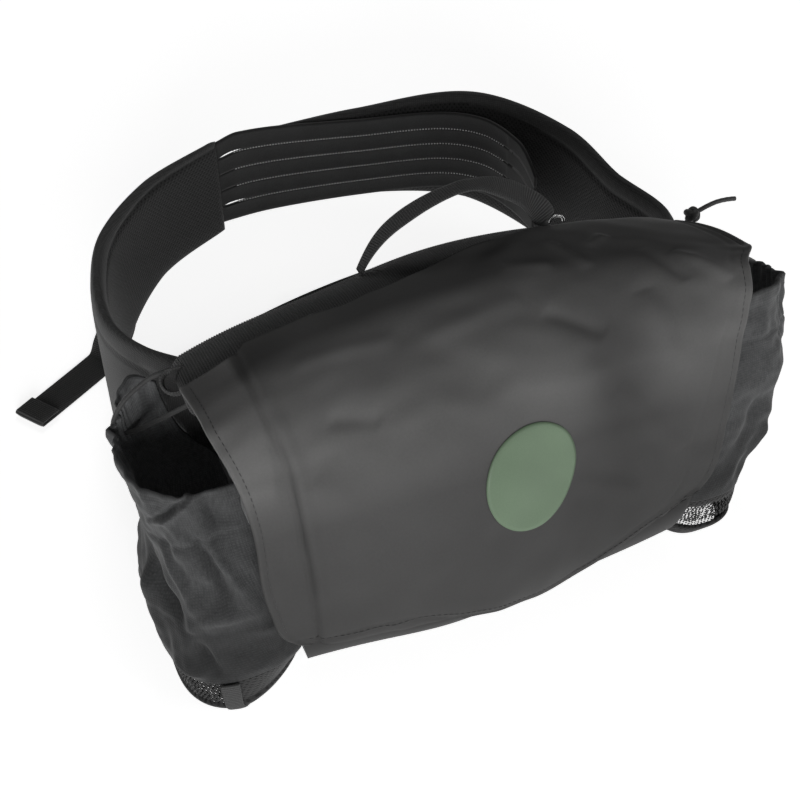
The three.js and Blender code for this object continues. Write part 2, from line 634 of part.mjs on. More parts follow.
function pocketSolid(side, sections, inset) {
  const rings = sections.map((section) => pocketRing(side, section, inset));
  return solidOf(loftGeometry(rings, middleOf(rings[0]), middleOf(rings.at(-1))));
}

// What stands beside a pocket: the bag, and everything inside the belt's outer face.
function besidePocket(side, lines) {
  const outline = new THREE.Shape();
  outline.moveTo(0, 0);
  const { stations, beltShare, bottom, depth } = BESIDE_POCKET;
  for (let i = 0; i <= stations; i += 1) {
    const frame = beltFrame(lines, (beltShare * i) / stations, side);
    const point = frame.middle.addScaledVector(frame.out, PADDING / 2 + SEAM_GAP);
    outline.lineTo(point.x, point.y);
  }
  outline.lineTo(0, lines.plan.getPoint(beltShare).y);
  outline.closePath();
  const prism = new THREE.ExtrudeGeometry(outline, { depth, bevelEnabled: false });
  prism.translate(0, 0, bottom);
  return bagSolid(SEAM_GAP).add(solidOf(prism));
}

const raised = (section, by) => ({ ...section, z: section.z + by });

function pocketOut({ footOut, rimOut, waist, ankle }, z) {
  const share = z / POCKET.at(-1).z;
  const near = (place) => Math.exp(-(((z - place.z) / place.spread) ** 2));
  return footOut + (rimOut - footOut) * share + waist * near(POCKET_WAIST) + ankle * near(POCKET_ANKLE);
}

function pocketSections(place) {
  const { forward, rise, tilt } = place;
  const top = POCKET.at(-1).z;
  return POCKET.map((section, i) => ({
    ...section,
    outer: section.outer + pocketOut(place, section.z),
    front: section.front - forward,
    back: section.back - forward * (1 - section.z / top),
    z: section.z + rise * (section.z / top),
    slope: section.slope * tilt,
    gather: Math.max(0, (i - GATHER.fromRow) / (POCKET.length - 1 - GATHER.fromRow)),
  }));
}

for (const place of POCKET_SIDES) {
  const { name, side } = place;
  const sections = pocketSections(place);
  const beside = besidePocket(side, side < 0 ? leftLines : rightLines);
  const foot = raised(sections[BINDING_ROW], SEAM_GAP);
  const upper = sections.slice(BINDING_ROW + 1);
  const wallInside = [raised(foot, -CLOTH), ...upper, raised(upper.at(-1), POCKET_GRID.headroom)];
  const wall = pocketSolid(side, [foot, ...upper], 0).subtract(pocketSolid(side, wallInside, CLOTH));
  addPiece(`${name}_pocket`, 'woven', geometryOf(wall.subtract(beside)));
  const lower = sections.slice(0, BINDING_ROW + 1);
  const baseInside = [raised(lower[0], CLOTH), ...lower.slice(1), raised(lower.at(-1), CLOTH)];
  const base = pocketSolid(side, lower, 0).subtract(pocketSolid(side, baseInside, CLOTH));
  addPiece(`${name}_pocket_base`, 'mesh', geometryOf(base.subtract(beside)));
}

// Webbing tab over the left pocket's bottom
function sectionAt(sections, z) {
  const above = sections.findIndex((section) => section.z > z);
  const low = sections[above - 1];
  const high = sections[above];
  const share = (z - low.z) / (high.z - low.z);
  const mixed = {};
  for (const column of ['z', 'inner', 'outer', 'front', 'back', 'slope']) {
    mixed[column] = low[column] + (high[column] - low[column]) * share;
  }
  return mixed;
}
const [leftPlace] = POCKET_SIDES;
const leftSections = pocketSections(leftPlace);
const tabRows = BASE_TAB.heights.length - 1;
const tabFace = (u, v, side) => {
  const section = sectionAt(leftSections, BASE_TAB.heights[Math.round(v * tabRows)]);
  const angle = THREE.MathUtils.degToRad(BASE_TAB.angle + BASE_TAB.spread * (u - 0.5));
  return pocketPoint(leftPlace.side, section, angle, -SEAM_GAP - side * WEBBING);
};
addPiece('left_base_tab', 'webbing', sheetGeometry(tabFace, BASE_TAB.columns, tabRows));

// Drawcords and the knot
function addCord(name, places) {
  const route = places.map((place) => new THREE.Vector3(...place));
  const length = new THREE.CatmullRomCurve3(route).getLength();
  addPiece(name, 'elastic', cordGeometry(route, CORD, Math.round(length / CORD_STEP)));
}
addCord('left_rear_drawcord', LEFT_REAR_CORD);
addCord('left_front_drawcord', LEFT_FRONT_CORD);
addCord('right_drawcord', RIGHT_CORD);
addCord('right_cord_tail', RIGHT_TAIL);
const knotGeometry = new THREE.SphereGeometry(KNOT.radius, KNOT.columns, KNOT.rows);
knotGeometry.translate(KNOT.x, KNOT.y, KNOT.z);
addPiece('right_cord_knot', 'elastic', knotGeometry);

// Loose end of the belt webbing, turned over at its end
const tailPlaces = TAIL_ROUTE.map((entry) => new THREE.Vector3(entry.x, entry.y, entry.z));
const tailCurve = new THREE.CatmullRomCurve3(tailPlaces);
const tailRolls = new THREE.CatmullRomCurve3(TAIL_ROUTE.map((entry) => new THREE.Vector3(entry.roll, 0, 0)));
const tailFrames = [];
for (let i = 0; i <= TAIL.steps; i += 1) {
  const u = i / TAIL.steps;
  const middle = tailCurve.getPoint(u);
  middle.z = Math.max(middle.z, WEBBING / 2);
  const along = tailCurve.getTangent(u);
  const level = new THREE.Vector3(-along.y, along.x, 0).normalize();
  const upright = new THREE.Vector3().crossVectors(along, level).normalize();
  const roll = THREE.MathUtils.degToRad(tailRolls.getPoint(u).x);
  const across = level.clone().multiplyScalar(Math.cos(roll)).addScaledVector(upright, Math.sin(roll));
  tailFrames.push({ middle, across, up: new THREE.Vector3().crossVectors(along, across).normalize() });
}
const tailEnd = tailFrames.at(-1);
const tailAlong = tailCurve.getTangent(1);
const foldRadius = (WEBBING + SEAM_GAP) / 2;
for (let i = 1; i <= TAIL.foldSteps; i += 1) {
  const angle = (Math.PI * i) / TAIL.foldSteps;
  const up = tailEnd.up.clone().multiplyScalar(Math.cos(angle)).addScaledVector(tailAlong, -Math.sin(angle));
  const middle = tailEnd.middle.clone();
  middle.addScaledVector(tailEnd.up, foldRadius).addScaledVector(up, -foldRadius);
  tailFrames.push({ middle, across: tailEnd.across, up });
}
const turnedOver = tailFrames.at(-1);
const foldEnd = turnedOver.middle.clone().addScaledVector(tailAlong, -TAIL.fold);
tailFrames.push({ middle: foldEnd, across: tailEnd.across, up: turnedOver.up });
addPiece('tail_strap', 'webbing', ribbonGeometry(tailFrames, TAIL.width, WEBBING));

export default bag;
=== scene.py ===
import math
from collections import namedtuple
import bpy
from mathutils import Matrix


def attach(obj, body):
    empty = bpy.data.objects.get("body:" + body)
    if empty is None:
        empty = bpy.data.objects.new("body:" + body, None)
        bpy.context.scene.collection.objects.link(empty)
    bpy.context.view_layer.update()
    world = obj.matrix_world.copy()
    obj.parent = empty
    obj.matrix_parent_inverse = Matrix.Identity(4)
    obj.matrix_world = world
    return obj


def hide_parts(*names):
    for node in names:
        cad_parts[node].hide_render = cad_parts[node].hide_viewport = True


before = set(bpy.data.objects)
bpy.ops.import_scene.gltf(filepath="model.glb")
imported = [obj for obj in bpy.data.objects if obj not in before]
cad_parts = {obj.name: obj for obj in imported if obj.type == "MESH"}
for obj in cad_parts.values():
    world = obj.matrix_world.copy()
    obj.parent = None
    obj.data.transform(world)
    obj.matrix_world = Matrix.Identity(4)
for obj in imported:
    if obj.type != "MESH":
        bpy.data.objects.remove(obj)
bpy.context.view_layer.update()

from types import SimpleNamespace as Values

import bpy
import numpy as np
from mathutils import Matrix, Vector

# Hip bag, dressed around its solids. Sizes are millimetres, and make_mesh() turns them into metres.
MM = 0.001
BODY = "root"

# Camera, at the photograph's viewing angle
VIEW = Values(azimuth=-21, elevation=42, roll=1, distance=730, target=(-25, 25, 90))
LENS = 63
SENSOR = 36


def make_camera():
    azimuth, elevation, roll = map(math.radians, (VIEW.azimuth, VIEW.elevation, VIEW.roll))
    flat = math.cos(elevation)
    back = Vector((math.sin(azimuth) * flat, -math.cos(azimuth) * flat, math.sin(elevation)))
    level = Vector((math.cos(azimuth), math.sin(azimuth), 0))
    upright = back.cross(level)
    right = level * math.cos(roll) - upright * math.sin(roll)
    up = level * math.sin(roll) + upright * math.cos(roll)
    place = (Vector(VIEW.target) + back * VIEW.distance) * MM
    camera = bpy.data.objects.new("camera", bpy.data.cameras.new("camera"))
    camera.data.lens = LENS
    camera.data.sensor_width = SENSOR
    camera.matrix_world = Matrix.Translation(place) @ Matrix((right, up, back)).transposed().to_4x4()
    bpy.context.scene.collection.objects.link(camera)
    bpy.context.scene.camera = camera


make_camera()


# Curves and meshes

def spline(points, u, closed=False):
    """Points of a centripetal Catmull-Rom curve at the shares u of its span, as an array."""
    points = np.asarray(points, float)
    u = np.asarray(u, float)
    count = len(points)
    if closed:
        place = u * count
        i = np.floor(place).astype(int)
        w = place - i
        p0, p1, p2, p3 = (points[(i + k) % count] for k in (-1, 0, 1, 2))
    else:
        place = np.clip(u, 0, 1) * (count - 1)
        i = np.minimum(np.floor(place).astype(int), count - 2)
        w = place - i
        ends = [2 * points[0] - points[1], *points, 2 * points[-1] - points[-2]]
        padded = np.array(ends)
        p0, p1, p2, p3 = (padded[i + k] for k in (0, 1, 2, 3))
    w = w[..., None]
    gaps = [np.sqrt(np.linalg.norm(b - a, axis=-1))[..., None] for a, b in ((p0, p1), (p1, p2), (p2, p3))]
    d1 = np.where(gaps[1] < 1e-4, 1, gaps[1])
    d0 = np.where(gaps[0] < 1e-4, d1, gaps[0])
    d2 = np.where(gaps[2] < 1e-4, d1, gaps[2])
    m1 = ((p1 - p0) / d0 - (p2 - p0) / (d0 + d1) + (p2 - p1) / d1) * d1
    m2 = ((p2 - p1) / d1 - (p3 - p1) / (d1 + d2) + (p3 - p2) / d2) * d1
    rise = 3 * (p2 - p1) - 2 * m1 - m2
    turn = 2 * (p1 - p2) + m1 + m2
    return p1 + w * (m1 + w * (rise + w * turn))


def unit(vectors):
    return vectors / np.maximum(np.linalg.norm(vectors, axis=-1, keepdims=True), 1e-9)


def bump(x, middle, spread):
    return np.exp(-(((x - middle) / spread) ** 2))


def step(x, start, end):
    """A smooth step from 0 at start to 1 at end."""
    share = np.clip((x - start) / (end - start), 0, 1)
    return share * share * (3 - 2 * share)


def mix(a, b, share):
    return a + (b - a) * share


CRUMPLE = Values(waves=16, bend=1.3, bend_length=2.3)


def crumple(x, y, seed, longest, shortest, depth):
    """Soft irregular dents: waves of many lengths and directions, in millimetres."""
    random = np.random.default_rng(seed)
    height = np.zeros(np.broadcast(x, y).shape)
    for length in np.geomspace(longest, shortest, CRUMPLE.waves):
        way, shift = random.uniform(0, np.pi), random.uniform(0, 2 * np.pi)
        place = (x * math.cos(way) + y * math.sin(way)) * 2 * np.pi / length
        beside = (y * math.cos(way) - x * math.sin(way)) * 2 * np.pi / (CRUMPLE.bend_length * length)
        height = height + length / longest * np.sin(place + CRUMPLE.bend * np.sin(beside + shift) + shift)
    return depth * height


def dents(table, x, t):
    """Height of dents. A row has a name, the place x and t, the spread in each, and the height."""
    height = np.zeros(np.broadcast(x, t).shape)
    for _, at_x, at_t, spread_x, spread_t, rise in table:
        height = height + rise * bump(x, at_x, spread_x) * bump(t, at_t, spread_t)
    return height


def between(places, along, values):
    """Rows of values between those given along a line, at places of its length."""
    return np.stack([np.interp(places, along, values[:, k]) for k in range(values.shape[1])], axis=-1)


def lengths_along(path):
    """The length of a path up to each of its points."""
    pieces = np.linalg.norm(np.diff(path, axis=0), axis=-1)
    return np.concatenate([[0], np.cumsum(pieces)])


def quads_of(index, wrap=False):
    """The quads of an index grid. With wrap, its last column meets the first."""
    if wrap:
        index = np.concatenate([index, index[:, :1]], axis=1)
    corners = (index[:-1, :-1], index[1:, :-1], index[1:, 1:], index[:-1, 1:])
    return np.stack(corners, axis=-1).reshape(-1, 4)


def facing_out(points, quads):
    """The quads, turned so that the closed mesh's faces point out."""
    a, b, c, d = (points[quads[:, k]] for k in range(4))
    volume = np.sum(a * np.cross(b, c)) + np.sum(a * np.cross(c, d))
    return quads if volume > 0 else quads[:, ::-1]


def make_mesh(name, points, faces, material, uv=None, marks=None, replaces=()):
    """A piece of the bag, riding on its body, with uv in millimetres and marks as numbers at its points."""
    mesh = bpy.data.meshes.new(name)
    rings = [list(dict.fromkeys(face)) for face in np.asarray(faces).tolist()]
    mesh.from_pydata((np.asarray(points, float) * MM).tolist(), [], rings)
    mesh.polygons.foreach_set("use_smooth", np.ones(len(mesh.polygons), bool))
    if uv is not None:
        corners = np.zeros(len(mesh.loops), np.int32)
        mesh.loops.foreach_get("vertex_index", corners)
        layer = mesh.uv_layers.new(name="cloth")
        layer.data.foreach_set("uv", np.asarray(uv, np.float32)[corners].ravel())
    for key, values in (marks or {}).items():
        mark = mesh.attributes.new(key, "FLOAT", "POINT")
        mark.data.foreach_set("value", np.asarray(values, np.float32).ravel())
    mesh.materials.append(material)
    mesh.update()
    piece = bpy.data.objects.new(name, mesh)
    bpy.context.scene.collection.objects.link(piece)
    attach(piece, BODY)
    if replaces:
        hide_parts(*replaces)
    return piece


def perimeter(index):
    return np.concatenate([index[:, 0], index[-1, 1:], index[-2::-1, -1], index[0, -2:0:-1]])


def closed_sheet(outer, inner, uv, marks=None, edge=0.5):
    """Points, faces, uv and marks of a sheet between two grids. edge is the share that rounds its edge."""
    rows, columns = outer.shape[:2]
    index = np.arange(rows * columns).reshape(rows, columns)
    rim = perimeter(index)
    middle = (outer + inner) / 2
    beside = np.zeros_like(middle)
    beside[0] = middle[0] - middle[1]
    beside[-1] = middle[-1] - middle[-2]
    beside[:, 0] += middle[:, 0] - middle[:, 1]
    beside[:, -1] += middle[:, -1] - middle[:, -2]
    thickness = np.linalg.norm(outer - inner, axis=-1, keepdims=True)
    edge_points = (middle + unit(beside) * thickness * edge).reshape(-1, 3)[rim]
    count = rows * columns
    points = np.concatenate([outer.reshape(-1, 3), inner.reshape(-1, 3), edge_points])
    ring = 2 * count + np.arange(len(rim))
    around = np.stack([rim, ring, rim + count], axis=0)
    faces = np.concatenate([quads_of(index), quads_of(index + count)[:, ::-1], quads_of(around, wrap=True)])
    flat_uv = uv.reshape(-1, 2)
    all_uv = np.concatenate([flat_uv, flat_uv, flat_uv[rim]])
    all_marks = {}
    for key, values in (marks or {}).items():
        flat = values.reshape(-1)
        all_marks[key] = np.concatenate([flat, flat, flat[rim]])
    return points, facing_out(points, faces), all_uv, all_marks


def loft(rings, start, end):
    """Points and faces of a closed solid through rings, with a fan to a point at each end."""
    count, around = rings.shape[:2]
    index = np.arange(count * around).reshape(count, around)
    first, last = (np.full((1, around), count * around + k) for k in (0, 1))
    points = np.concatenate([rings.reshape(-1, 3), start[None], end[None]])
    return points, facing_out(points, quads_of(np.concatenate([first, index, last]), wrap=True))


def thicken(piece, thickness, offset):
    """Gives a sheet a thickness in millimetres, inwards for an offset of -1 and to both sides for 0."""
    wall = piece.modifiers.new("wall", "SOLIDIFY")
    wall.thickness = thickness * MM
    wall.offset = offset


def grid(columns, rows):
    """u and v from 0 to 1 on a grid."""
    return np.meshgrid(np.linspace(0, 1, columns + 1), np.linspace(0, 1, rows + 1), indexing="ij")


def frames_along(path, first):
    """Tangents of a path and two directions across it, carried along without twist from the first one."""
    tangents = unit(np.gradient(path, axis=0))
    across = [unit(first - tangents[0] * np.dot(first, tangents[0]))]
    for tangent in tangents[1:]:
        carried = across[-1] - tangent * np.dot(across[-1], tangent)
        across.append(unit(carried))
    across = np.array(across)
    return tangents, across, np.cross(tangents, across)


def tube(path, radius, sides, relief=None):
    """Points, faces and uv of a closed tube along a path. relief(length, angle) scales the radius."""
    _, across, up = frames_along(path, np.array([0.3, 0.5, 0.8]))
    angles = np.linspace(0, 2 * np.pi, sides, endpoint=False)
    along = lengths_along(path)
    scale = np.ones((len(path), sides)) if relief is None else relief(along[:, None], angles[None, :])
    spokes = across[:, None] * np.cos(angles)[None, :, None] + up[:, None] * np.sin(angles)[None, :, None]
    rings = path[:, None] + spokes * radius * scale[..., None]
    points, faces = loft(rings, path[0], path[-1])
    uv = np.stack(np.broadcast_arrays(along[:, None], angles[None, :] * radius), axis=-1).reshape(-1, 2)
    return points, faces, np.concatenate([uv, uv[:1], uv[-1:]])


# Materials. Colours are linear, and the pattern nodes read the cloth's own uv in millimetres.

def add(tree, kind, inputs=None, **settings):
    made = tree.nodes.new("ShaderNode" + kind)
    for key, value in settings.items():
        setattr(made, key, value)
    for key, value in (inputs or {}).items():
        if isinstance(value, bpy.types.NodeSocket):
            tree.links.new(value, made.inputs[key])
        else:
            made.inputs[key].default_value = value
    return made


def calc(tree, operation, a, b=0.0, c=0.0):
    return add(tree, "Math", {0: a, 1: b, 2: c}, operation=operation).outputs[0]


def new_material(name, specular, sheen=0.0, metallic=0.0):
    material = bpy.data.materials.new(name)
    material.use_nodes = True
    shader = material.node_tree.nodes["Principled BSDF"]
    shader.inputs["Specular IOR Level"].default_value = specular
    shader.inputs["Metallic"].default_value = metallic
    shader.inputs["Sheen Weight"].default_value = sheen
    shader.inputs["Sheen Roughness"].default_value = 0.6
    return material, material.node_tree, shader


def cloth_uv(tree):
    split = add(tree, "SeparateXYZ", {0: add(tree, "UVMap", uv_map="cloth").outputs["UV"]})
    return split.outputs["X"], split.outputs["Y"]


def noise(tree, size, detail=3.0, stretch=(1, 1, 1), roughness=0.55):
    """Noise with features of about that many millimetres, in the object's own space."""
    place = add(tree, "TexCoord").outputs["Object"]
    per_metre = 1 / (size * MM)
    scaled = add(tree, "Mapping", {"Vector": place, "Scale": [per_metre * k for k in stretch]})
    inputs = {"Vector": scaled.outputs[0], "Scale": 1.0, "Detail": detail, "Roughness": roughness}
    return add(tree, "TexNoise", inputs).outputs["Fac"]


def wave(tree, place, pitch):
    """0 to 1 and back over each pitch of a coordinate in millimetres."""
    turn = calc(tree, "MULTIPLY", place, 2 * math.pi / pitch)
    return calc(tree, "MULTIPLY_ADD", calc(tree, "SINE", turn), 0.5, 0.5)


def colour_between(tree, factor, dark, light):
    ramp = add(tree, "ValToRGB", {"Fac": factor})
    ramp.color_ramp.elements[0].color = (*dark, 1)
    ramp.color_ramp.elements[1].color = (*light, 1)
    return ramp.outputs["Color"]


def grey(level, warm=0.0):
    return (level * (1 + warm), level, level * (1 - warm))


def finish_cloth(tree, shader, colour, tone, rough, height, depth):
    """Base colour, roughness over a range by the tone, and bump of a height."""
    tree.links.new(colour, shader.inputs["Base Color"])
    spread = add(tree, "MapRange", {"Value": tone, "To Min": rough[0], "To Max": rough[1]})
    tree.links.new(spread.outputs["Result"], shader.inputs["Roughness"])
    bumped = add(tree, "Bump", {"Height": height, "Distance": depth * MM, "Strength": 0.8})
    tree.links.new(bumped.outputs["Normal"], shader.inputs["Normal"])


def blend(tree, *parts):
    """The sum of pairs of a socket and its share."""
    total = 0.0
    for socket, share in parts:
        total = calc(tree, "MULTIPLY_ADD", socket, share, total)
    return total


def weave(tree, pitch=1.35):
    """Height of a plain weave's threads, from 0 to 1."""
    u, v = cloth_uv(tree)
    return calc(tree, "MULTIPLY", wave(tree, u, pitch), wave(tree, v, pitch * 0.8))


def painted_shade_colour(tree, tone, dark, light, shade_share):
    """Colour by the tone, with painted shade from a mark: with a share below 1, the colour runs from that
    share of it where the mark is 0 to all of it where the mark is 1.
    """
    pale = colour_between(tree, tone, dark, light)
    if shade_share == 1:
        return pale
    painted_shade = add(tree, "Attribute", attribute_name="painted_shade").outputs["Fac"]
    deep = colour_between(tree, tone, [k * shade_share for k in dark], [k * shade_share for k in light])
    return add(tree, "Mix", {"Factor": painted_shade, 6: deep, 7: pale}, data_type="RGBA").outputs[2]


def coated_material(name, level, shade_share=1.0):
    material, tree, shader = new_material(name, specular=0.1)
    broad, grain, pores = noise(tree, 45, 2), noise(tree, 1.1, 2), noise(tree, 0.4, 1)
    tone = blend(tree, (grain, 0.4), (broad, 0.6))
    height = blend(tree, (grain, 0.6), (pores, 0.4))
    colour = painted_shade_colour(tree, tone, grey(level * 0.76, 0.01), grey(level * 1.24, 0.01), shade_share)
    finish_cloth(tree, shader, colour, tone, (0.5, 0.64), height, 0.07)
    return material


def woven_material(name, level, shade_share=1.0):
    material, tree, shader = new_material(name, specular=0.2, sheen=0.1)
    slub = noise(tree, 1.5, 3, (1, 1, 0.3), 0.75)
    threads = weave(tree)
    tone = blend(tree, (threads, 0.16), (slub, 0.66), (noise(tree, 30, 2), 0.18))
    height = blend(tree, (threads, 0.35), (slub, 0.65))
    colour = painted_shade_colour(tree, tone, grey(level * 0.1), grey(level * 2.1, -0.02), shade_share)
    finish_cloth(tree, shader, colour, tone, (0.62, 0.88), height, 0.35)
    return material


def mesh_material(name, level, border_level, pitch=3.2):
    """Spacer mesh where the mark panel is 1, and woven border cloth where it is 0."""
    material, tree, shader = new_material(name, specular=0.2, sheen=0.08)
    u, v = cloth_uv(tree)
    across = calc(tree, "COSINE", calc(tree, "MULTIPLY", u, 2 * math.pi / pitch))
    along = calc(tree, "COSINE", calc(tree, "MULTIPLY", v, 2 * math.pi / pitch))
    cells = calc(tree, "MULTIPLY", across, along)
    reach = {"Value": cells, "From Min": 0.0, "From Max": 0.55, "To Min": 1.0, "To Max": 0.0}
    holes = add(tree, "MapRange", reach)
    fibre = noise(tree, 0.8, 2)
    panel = add(tree, "Attribute", attribute_name="panel").outputs["Fac"]
    net = blend(tree, (holes.outputs["Result"], 0.65), (fibre, 0.35))
    cloth = blend(tree, (weave(tree), 0.4), (noise(tree, 1.6, 3), 0.6))
    tone = add(tree, "Mix", {"Factor": panel, 2: cloth, 3: net}, data_type="FLOAT").outputs[0]
    border = colour_between(tree, cloth, grey(border_level * 0.4), grey(border_level * 1.8))
    inside = colour_between(tree, net, grey(level * 0.05), grey(level * 2.4))
    colour = add(tree, "Mix", {"Factor": panel, 6: border, 7: inside}, data_type="RGBA").outputs[2]
    finish_cloth(tree, shader, colour, tone, (0.6, 0.85), tone, 0.5)
    return material


def webbing_material(name, level):
    material, tree, shader = new_material(name, specular=0.25, sheen=0.08)
    u, v = cloth_uv(tree)
    fuzz = noise(tree, 0.7, 2)
    # The colour follows the ribs' height: painted shade in the grooves and painted light on the crests.
    tone = blend(tree, (wave(tree, u, RIB_PITCH), 0.6), (fuzz, 0.4))
    height = blend(tree, (wave(tree, v, 1.1), 0.4), (fuzz, 0.6))
    colour = colour_between(tree, tone, grey(level * 0.2), grey(level * 2.2))
    finish_cloth(tree, shader, colour, tone, (0.5, 0.75), height, 0.15)
    return material


def fuzzy_material(name, slot_size, dark, light, rough, depth, specular=0.3, sheen=0.0, metallic=0.0):
    """A material whose colour, roughness and bump follow one noise and its broader swell."""
    material, tree, shader = new_material(name, specular=specular, sheen=sheen, metallic=metallic)
    fine = noise(tree, slot_size, 3)
    tone = blend(tree, (fine, 0.6), (noise(tree, slot_size * 18, 2), 0.4))
    finish_cloth(tree, shader, colour_between(tree, tone, dark, light), tone, rough, fine, depth)
    return material


RIB_PITCH = 1.3
# The flap's coated cloth, darkened by its mark to 0.28 of its colour as painted shade.
COATED = coated_material("coated_cloth", 0.122, 0.28)
# A far darker copy of the coated cloth for the bag's front under the flap: painted shade.
SHADED_LOWER_COATED = coated_material("coated_lower_painted_shade", 0.02)
WOVEN = woven_material("woven_polyester", 0.04)
# The pockets' cloth, darkened by its mark to 0.38 of its colour as painted shade towards the bottom.
POCKET_CLOTH = woven_material("pocket_polyester", 0.053, 0.38)
# A lighter copy of the woven cloth for the pockets' insides and the bag's ends: painted light where little
# light reaches.
PAINTED_LIGHT_LINING = woven_material("pocket_lining_painted_light", 0.12)
PANEL_WEAVE = fuzzy_material("brushed_panel", 0.9, grey(0.007), grey(0.046), (0.75, 0.95), 0.2, 0.15, 0.15)
SPACER_MESH = mesh_material("spacer_mesh", 0.012, 0.042)
WEBBING_CLOTH = webbing_material("ribbed_webbing", 0.028)
PRINT = fuzzy_material("green_print", 0.8, (0.092, 0.136, 0.086), (0.13, 0.188, 0.12), (0.42, 0.58), 0.05)
ELASTIC = fuzzy_material("braided_elastic", 0.4, grey(0.014), grey(0.07), (0.45, 0.7), 0.08, sheen=0.1)
STEEL = fuzzy_material("bright_wire", 0.4, grey(0.75), grey(0.9), (0.2, 0.3), 0.005, 0.5, metallic=1.0)
GREY_THREAD = fuzzy_material("grey_thread", 0.3, grey(0.03), grey(0.06), (0.5, 0.7), 0.05)
PALE_THREAD = fuzzy_material("pale_thread", 0.3, grey(0.35), grey(0.75), (0.5, 0.7), 0.05)


# Cords: the routes repeat those of the solids

CORD_DIAMETER = 2.6
LEFT_REAR_CORD = [
    (-169.6, 55.5, 93.4), (-169.2, 55.8, 96), (-168.2, 56, 99.5), (-166.6, 56.1, 103),
    (-164.4, 56.1, 106.5), (-161.6, 56.1, 110), (-158.2, 56, 113.3), (-154.4, 55.8, 116.5),
    (-150.4, 55.4, 119.4), (-146.4, 54.6, 122.2), (-142.6, 53.2, 124.6), (-139, 51.5, 126.8),
    (-135.6, 49.8, 128.7), (-132.4, 48.2, 130.2), (-128.2, 46.4, 131.4),
]
LEFT_FRONT_CORD = [
    (-163.6, 56.5, 88.9), (-161.4, 55.3, 89.9), (-158.9, 53.8, 91.3), (-156.2, 51.9, 93.4),
    (-153.4, 49.7, 96), (-150.6, 47.4, 98.9), (-147.8, 44.9, 102), (-145, 42.3, 105.2),
    (-142.2, 39.7, 108.5), (-139.4, 37.1, 111.8), (-136.6, 34.7, 114.9), (-133.8, 32.5, 117.8),
    (-131, 30.6, 120.4), (-129, 29.4, 121.8), (-127.4, 28.5, 122.7),
]
RIGHT_CORD = [
    (196.2, 39, 104.9), (194, 37.6, 108), (189.5, 35, 112.5), (184, 31.8, 117.5), (177.5, 28.2, 123),
    (170.5, 24.6, 129), (163, 21.2, 135.5), (155.5, 18.8, 141.5), (149, 18.5, 145), (144.2, 21.5, 145),
    (141.9, 25.7, 142.9), (141.7, 31, 140.3), (141.7, 36.5, 137.6), (141.8, 41.5, 135.1),
    (143.5, 46.5, 132.7), (147.5, 50.5, 132.3), (152, 52, 134.6), (155.1, 51.2, 137.8),
]
KNOT_CENTRE = (155.6, 48.9, 143.2)
RIGHT_TAIL = [(160.7, 49, 145), (164.5, 49, 146.3), (170, 49, 147.5), (176.2, 49, 147.5), (182, 49, 146.7)]
CORD_SIDES = 18
CORD_ROUGH_STEPS = 400
CORD_STEPS_PER_MM = 3
BRAID = Values(pitch=3.2, strands=5, depth=0.05)
KNOT = Values(size=2.75, strand=1.85, steps=160, sides=14, lobe=0.42, lift=0.85, span=1.3)


def braid(length, angle):
    """Radius of a braided cord, as a share of the full one."""
    turn = 2 * np.pi * length / BRAID.pitch
    over = np.sin(BRAID.strands * angle + turn)
    under = np.sin(BRAID.strands * angle - turn)
    return 1 - BRAID.depth + BRAID.depth * np.maximum(over, under)


def make_cord(name, route, replaces):
    rough = spline(route, np.linspace(0, 1, CORD_ROUGH_STEPS))
    steps = int(lengths_along(rough)[-1] * CORD_STEPS_PER_MM)
    path = spline(route, np.linspace(0, 1, steps))
    points, faces, uv = tube(path, CORD_DIAMETER / 2, CORD_SIDES, braid)
    piece = make_mesh(name, points, faces, ELASTIC, uv, replaces=replaces)


def make_knot():
    """A trefoil of the cord, pulled tight into a ball."""
    turn = np.linspace(0, 2 * np.pi, KNOT.steps, endpoint=False)
    reach = 1 + KNOT.lobe * np.cos(3 * turn)
    lift = KNOT.lift * np.sin(3 * turn)
    path = np.stack([reach * np.cos(2 * turn), reach * np.sin(2 * turn), lift], axis=-1)
    path = path * KNOT.size / KNOT.span + np.array(KNOT_CENTRE)
    path = np.concatenate([path, path[:1]])
    points, faces, uv = tube(path, KNOT.strand, KNOT.sides, braid)
    return make_mesh("cord_knot", points, faces, ELASTIC, uv, replaces=["right_cord_knot"])


make_cord("left_rear_strand", LEFT_REAR_CORD, ["left_rear_drawcord"])
make_cord("left_front_strand", LEFT_FRONT_CORD, ["left_front_drawcord"])
cord_knot = make_knot()
make_cord("right_cord", [*RIGHT_CORD, KNOT_CENTRE, *RIGHT_TAIL],
          ["right_drawcord", "right_cord_tail"])


# The bag's skin: its side profile as a closed loop of y and z, at the middle and at the two ends

CLOTH = 1.8
COATED_CLOTH = 1.5
WEBBING = 1.5
PADDING = 10
SEAM_GAP = 0.4
END_X = 140
SAG_POWER = 2
Row = namedtuple("Row", "at mid left right middle half")
PROFILE = [Row(*row) for row in (
    ("rear_edge", (48, 163), (49, 130), (46, 140), 1, 129),
    ("crest", (18, 170), (12, 139), (6, 153), 6, 131),
    ("brow", (-20, 163), (-22, 142), (-20, 154), 2, 131),
    ("shoulder", (-49, 140), (-40, 121), (-36, 130), 0, 125),
    ("belly", (-62, 92), (-58, 80), (-52, 84), -4, 118),
    ("lip", (-72, 40), (-62, 40), (-58, 50), -6, 107),
    ("base_front", (-44, 0), (-46, 0), (-28, 0), -2, 104),
    ("base_mid", (0, 0), (0, 0), (0, 0), 0, 106),
    ("base_back", (44, 0), (42, 0), (42, 0), 0, 108),
    ("lumbar", (51, 55), (46, 48), (46, 50), 0, 116),
    ("back_high", (52, 120), (47, 92), (48, 108), 3, 119),
)]
